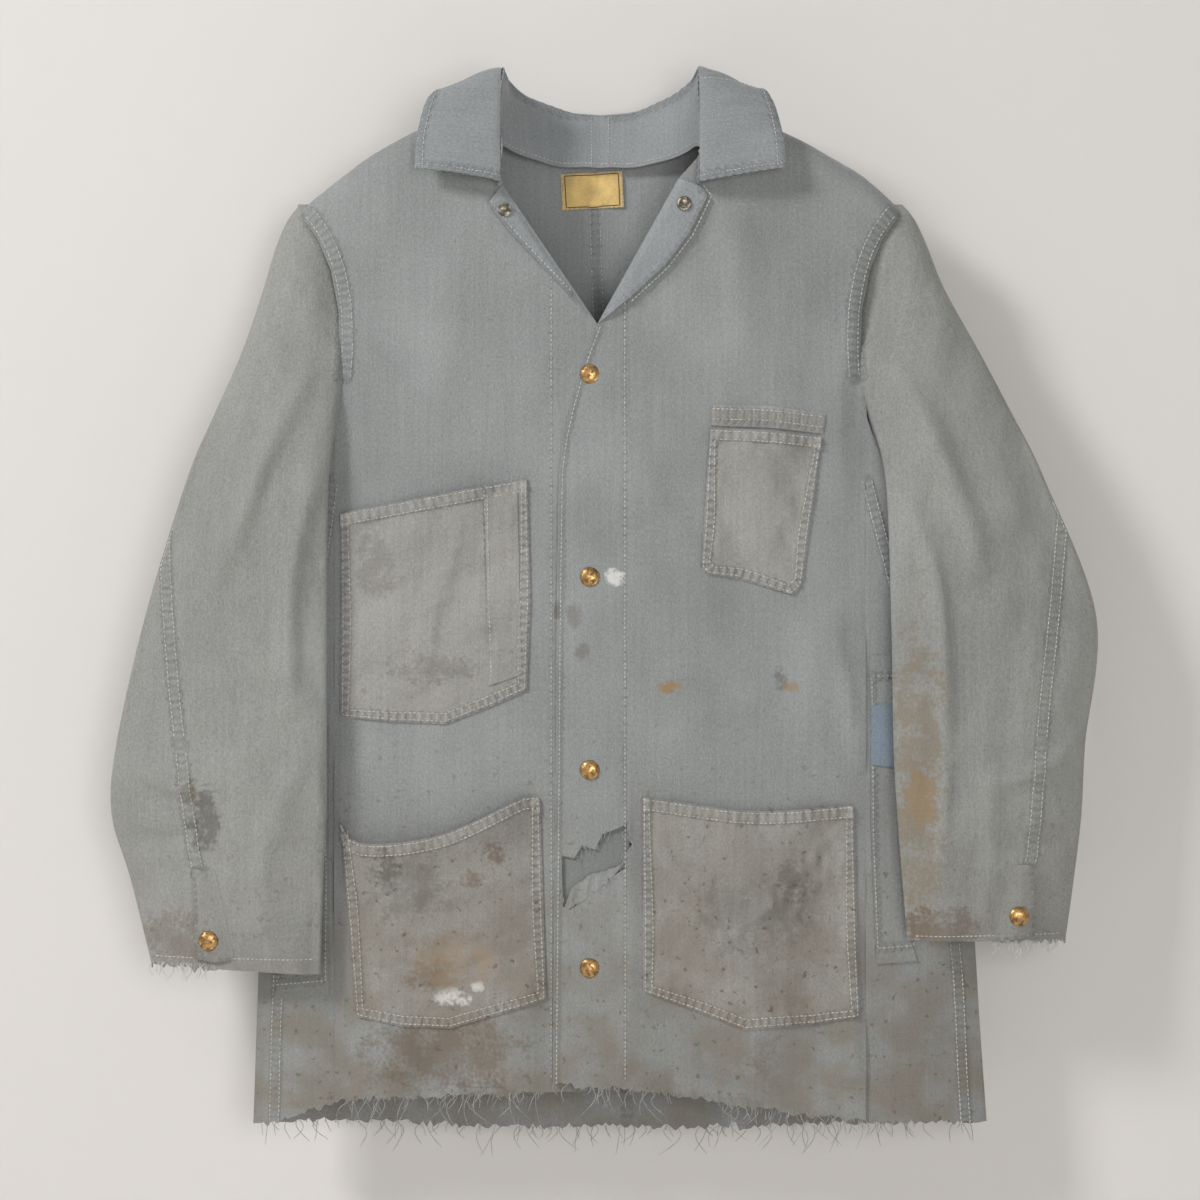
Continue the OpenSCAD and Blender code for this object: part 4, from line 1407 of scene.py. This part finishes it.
def sleeve_part(name, side, top, foot):
    """A sleeve's cloth from one height down to another. At CUFF_Z it ends in the cuff's edge."""
    rows = round((top - foot) / SLEEVE_ROW)
    a = np.linspace(0, math.tau, SLEEVE_COLUMNS, endpoint=False)
    lows = cuff_height(side, a) if foot == CUFF_Z else np.full(len(a), float(foot))
    t = np.linspace(0, 1, rows + 1)[:, None]
    z = top * (1 - t) + lows * t
    angles = np.broadcast_to(a, z.shape)
    places = sleeve_places(side, angles.ravel(), z.ravel())
    pattern = places[:, [0, 2]]
    wear = SLEEVE_FINE[side](pattern) * (-np.sin(angles) > 0.15).ravel()
    rest = np.column_stack([pattern, places[:, 1]])
    order = slice(None, None, -1 if side == RIGHT else 1)
    places, rest, wear = (values.reshape(*z.shape, -1)[::-1, order]
                          for values in (places, rest, wear))
    return grid_object(name, places, rest, wear, sleeve_twill, closed=True)


def lift_line(side):
    """Where a sleeve starts to lift, and where it has come right round."""
    lift = joint_place(f"sleeve_{SIDE_NAMES[side]}_lift")
    down = np.array([side * 0.845, 0, -0.535])
    return lift * MM, (lift + down * 105) * MM


def make_sleeve(side):
    """A sleeve in two parts that meet above the elbow, each with its length of the long seam."""
    name = SIDE_NAMES[side]
    cloth = sleeve_front(side)
    upper, lower = f"sleeve_upper_{name}", f"sleeve_lower_{name}"
    for part, top, foot, bodies, ends, nodes in (
            ("top", SLEEVE_TOP, ELBOW_SPLIT, ("shell", upper), lift_line(side),
             [f"sleeve_cap_{name}", upper]),
            ("foot", ELBOW_SPLIT, CUFF_Z, (upper, lower), ELBOW_TURN, [lower])):
        piece = sleeve_part(f"sleeve_{name}_{part}", side, top, foot)
        over_joint(piece, bodies, ends, "twill", *nodes)
        rows = [row[(row[:, 1] > foot) & (row[:, 1] < top)]
                for row in both_sides(curve(SLEEVE_SEAM[side], 10), 4)]
        thread = stitches(f"sleeve_{name}_{part}_stitches", cloth, rows, pale_thread)
        over_joint(thread, bodies, ends, "twill")
    make_cuff(side, cloth)


CUFF_FLAPS = {
    RIGHT: [[-299, 203], [-284, 133], [-300, 131], [-315, 134], [-316, 203]],
    LEFT: [[320, 207], [305, 147], [322, 149], [338, 151], [336, 207]],
}


def flap_cloth(side, sleeve):
    """The overlap's surface, which rises from the line that it opens about."""
    outline = np.array(CUFF_FLAPS[side], float)
    hinge, edge = outline[:2], outline[1:]

    def broad(p):
        gap, _ = nearest(p, hinge)
        return 0.3 + 2.6 * smooth(gap / 12)
    return Cloth(sleeve.shape, broad, ridge(edge, 6, 0.3, 0.3, 6.0, 211))


def make_cuff(side, sleeve):
    """The overlap at the wrist's vent, and the cuff's frayed edge with its row of stitches."""
    name = SIDE_NAMES[side]
    body, lower = f"cuff_flap_{name}", f"sleeve_lower_{name}"
    outline = np.array(CUFF_FLAPS[side], float)
    piece = sheet(f"cuff_{name}_overlap", flap_cloth(side, sleeve), outline, sleeve_twill, (),
                  [outline[1:]], fine=1.5)
    on_body(piece, body, "twill", body)
    height, outer, inner = SLEEVE_RINGS[side][-1]
    edge = [[side * (outer - 60), height], [side * (outer - 4), height]]
    thread = frays(f"cuff_{name}_frays", sleeve, edge, 60, 14, pale_thread, 213 + side)
    on_body(thread, lower, "twill")
    row = [[side * (inner + 6), height + 6], [side * (outer - 4), height + 6]]
    thread = stitches(f"cuff_{name}_stitches", sleeve, [row], pale_thread)
    on_body(thread, lower, "twill")


# ---------- snaps ----------

# Profiles of the round parts, each from its rim to its middle: radius and height outward.
DOME = [(7.3, 0), (7.6, 0.5), (7.4, 1.1), (6.7, 1.5), (6.3, 1.35), (5.6, 1.75), (4.2, 2.2),
        (2.4, 2.5), (0.6, 2.6)]
RING = [(5.6, 0), (5.7, 0.6), (5.2, 1.3), (4.5, 1.6), (3.7, 1.3), (3.3, 0.5), (2.6, 0.3), (0.5, 0.3)]
STUD = [(5.4, 0), (5.4, 0.7), (4.6, 1.0), (3.1, 1.1), (2.7, 1.4), (2.8, 2.6), (2.3, 3.1), (0.5, 3.2)]


BACKING = [(r, -h) for r, h in RING[::-1]]      # a ring that faces the wearer
SNAP_LIFT = 0.1                 # a snap's base lies this far off the cloth
MIDDLE_SNAP_Z = 281


def snap_places(cloth, node, heights, lift=SNAP_LIFT):
    """Places on a cloth for the snaps of a CAD node, one at each height."""
    return cloth.at(np.array([[middle_of(node)[0], z] for z in heights]), lift)


def make_top_snap():
    """The snap that stays closed, above the line where the fronts bend."""
    height = [middle_of("top_snap_cap")[2]]
    for name, node, side, profile, slot in (
            ("top_snap_dome", "top_snap_cap", LEFT, DOME, "snap_brass"),
            ("top_snap_post", "top_snap_stud", RIGHT, STUD, "snap_nickel")):
        place = snap_places(FRONTS[side], node, height)
        on_shell(lathes(name, profile, place, METALS[slot]), slot, node)


def make_front_snaps():
    """The other three snaps of the fronts."""
    cap_low, cap_high = box_mm("top_snap_cap")
    radius = (cap_high[0] - cap_low[0]) / 2
    low, high = box_mm("front_snap_caps")
    heights = [high[2] - radius, MIDDLE_SNAP_Z, low[2] + radius]
    for name, node, side, profile, lift, slot in (
            ("front_snap_domes", "front_snap_caps", LEFT, DOME, SNAP_LIFT, "snap_brass"),
            ("front_snap_posts", "front_snap_studs", RIGHT, STUD, SNAP_LIFT, "snap_nickel"),
            ("front_snap_rings", "front_snap_sockets", LEFT, BACKING, -CLOTH, "snap_nickel"),
            ("front_snap_backs", "front_snap_eyelets", RIGHT, BACKING, -CLOTH, "snap_nickel")):
        places = snap_places(FRONTS[side], node, heights, lift)
        on_front(lathes(name, profile, places, METALS[slot]), side, slot, node)


def make_cuff_snap(side):
    """The cap on a cuff's overlap and the stud under it."""
    name, sleeve = SIDE_NAMES[side], sleeve_front(side)
    centre = middle_of(f"cuff_snap_cap_{name}")[None, [0, 2]]
    dome = lathes(f"cuff_{name}_dome", DOME, sleeve.at(centre, 3.2), brass)
    on_body(dome, f"cuff_flap_{name}", "snap_brass", f"cuff_snap_cap_{name}")
    post = lathes(f"cuff_{name}_post", STUD, sleeve.at(centre, SNAP_LIFT), nickel)
    on_body(post, f"sleeve_lower_{name}", "snap_nickel", f"cuff_snap_stud_{name}")


def make_neck_snap(side, node, profile):
    """Half of the snap that would close the neck, on a lapel."""
    place = FRONTS[side].at(middle_of(node)[None, [0, 2]], 5.6)
    ring = lathes(node + "_ring", profile, place, nickel)
    on_body(ring, f"lapel_{SIDE_NAMES[side]}", "snap_nickel", node)


# ---------- scene ----------


WALL_Y, FLOOR_Z = 0.075, -0.6    # in metres
SKY_STRENGTH = 0.24


def stage_plane(name, corners, material):
    """A flat part of the surroundings."""
    mesh = bpy.data.meshes.new(name)
    mesh.from_pydata(corners, [], [(0, 1, 2, 3)])
    mesh.materials.append(material)
    plane = bpy.data.objects.new(name, mesh)
    bpy.context.scene.collection.objects.link(plane)
    return plane


def wall_material():
    """Pale plaster that is seen from the front only."""
    graph = Graph("wall")
    tree = graph.tree
    graph.finish(Base_Color=rgb(0.76, 0.735, 0.71), Roughness=0.95)
    clear = tree.nodes.new("ShaderNodeBsdfTransparent")
    side = tree.nodes.new("ShaderNodeNewGeometry")
    mixer = tree.nodes.new("ShaderNodeMixShader")
    tree.links.new(side.outputs["Backfacing"], mixer.inputs[0])
    tree.links.new(graph.shader.outputs[0], mixer.inputs[1])
    tree.links.new(clear.outputs[0], mixer.inputs[2])
    tree.links.new(mixer.outputs[0], tree.nodes["Material Output"].inputs[0])
    return graph.material


def make_stage():
    """A pale wall close behind the smock, which casts no shadow on its back, and a pale floor."""
    corners = [(-4, WALL_Y, FLOOR_Z), (4, WALL_Y, FLOOR_Z), (4, WALL_Y, 4), (-4, WALL_Y, 4)]
    wall = stage_plane("wall", corners, wall_material())
    wall.visible_shadow = False
    corners = [(-6, -6, FLOOR_Z), (6, -6, FLOOR_Z), (6, 6, FLOOR_Z), (-6, 6, FLOOR_Z)]
    stage_plane("floor", corners, Graph("floor").finish(Base_Color=rgb(0.72, 0.70, 0.67),
                                                        Roughness=0.9))


def add_light(name, place, size, power):
    """A square lamp that shines at the middle of the smock."""
    light = bpy.data.lights.new(name, "AREA")
    light.size = size
    light.energy = power
    lamp = bpy.data.objects.new(name, light)
    lamp.location = place
    target = Vector((0, 0, 0.42))
    lamp.rotation_euler = (target - Vector(place)).to_track_quat("-Z", "Y").to_euler()
    bpy.context.scene.collection.objects.link(lamp)


def make_lights():
    """A key light from the upper left, a fill from the front, one behind, and a dim sky."""
    add_light("key", (-2.4, -2.1, 2.4), 0.8, 74)
    add_light("fill", (0.5, -3.0, 0.5), 1.2, 28)
    add_light("back_light", (0.3, 2.4, 1.6), 2.0, 30)
    world = bpy.data.worlds.new("studio")
    world.use_nodes = True
    background = world.node_tree.nodes["Background"]
    background.inputs[0].default_value = rgb(1.0, 0.99, 0.97)
    background.inputs[1].default_value = SKY_STRENGTH
    bpy.context.scene.world = world


def make_camera():
    """Straight on and level with the smock's middle, with the whole smock in the frame."""
    width, distance = 0.936, 2.4
    centre = Vector((0, -0.03, 0.413))
    data = bpy.data.cameras.new("camera")
    data.sensor_width = 36
    data.lens = data.sensor_width * distance / width
    camera = bpy.data.objects.new("camera", data)
    camera.location = centre - Vector((0, distance, 0))
    camera.rotation_euler = (math.radians(90), 0, 0)
    bpy.context.scene.collection.objects.link(camera)
    bpy.context.scene.camera = camera


for front_side in FRONTS:
    make_front(front_side)
    make_facing(front_side)
make_torn_flap()
make_back()
for side_of_body in (RIGHT, LEFT):
    make_side(side_of_body)
    make_slit(side_of_body)
    make_lapel(side_of_body)
    make_collar(side_of_body)
    make_sleeve(side_of_body)
    make_cuff_snap(side_of_body)
make_pockets()
make_patch()
make_label()
make_top_snap()
make_front_snaps()
make_neck_snap(RIGHT, "neck_snap_stud", STUD)
make_neck_snap(LEFT, "neck_snap_socket", RING)
make_stage()
make_lights()
make_camera()
bpy.context.scene.view_settings.view_transform = "Standard"
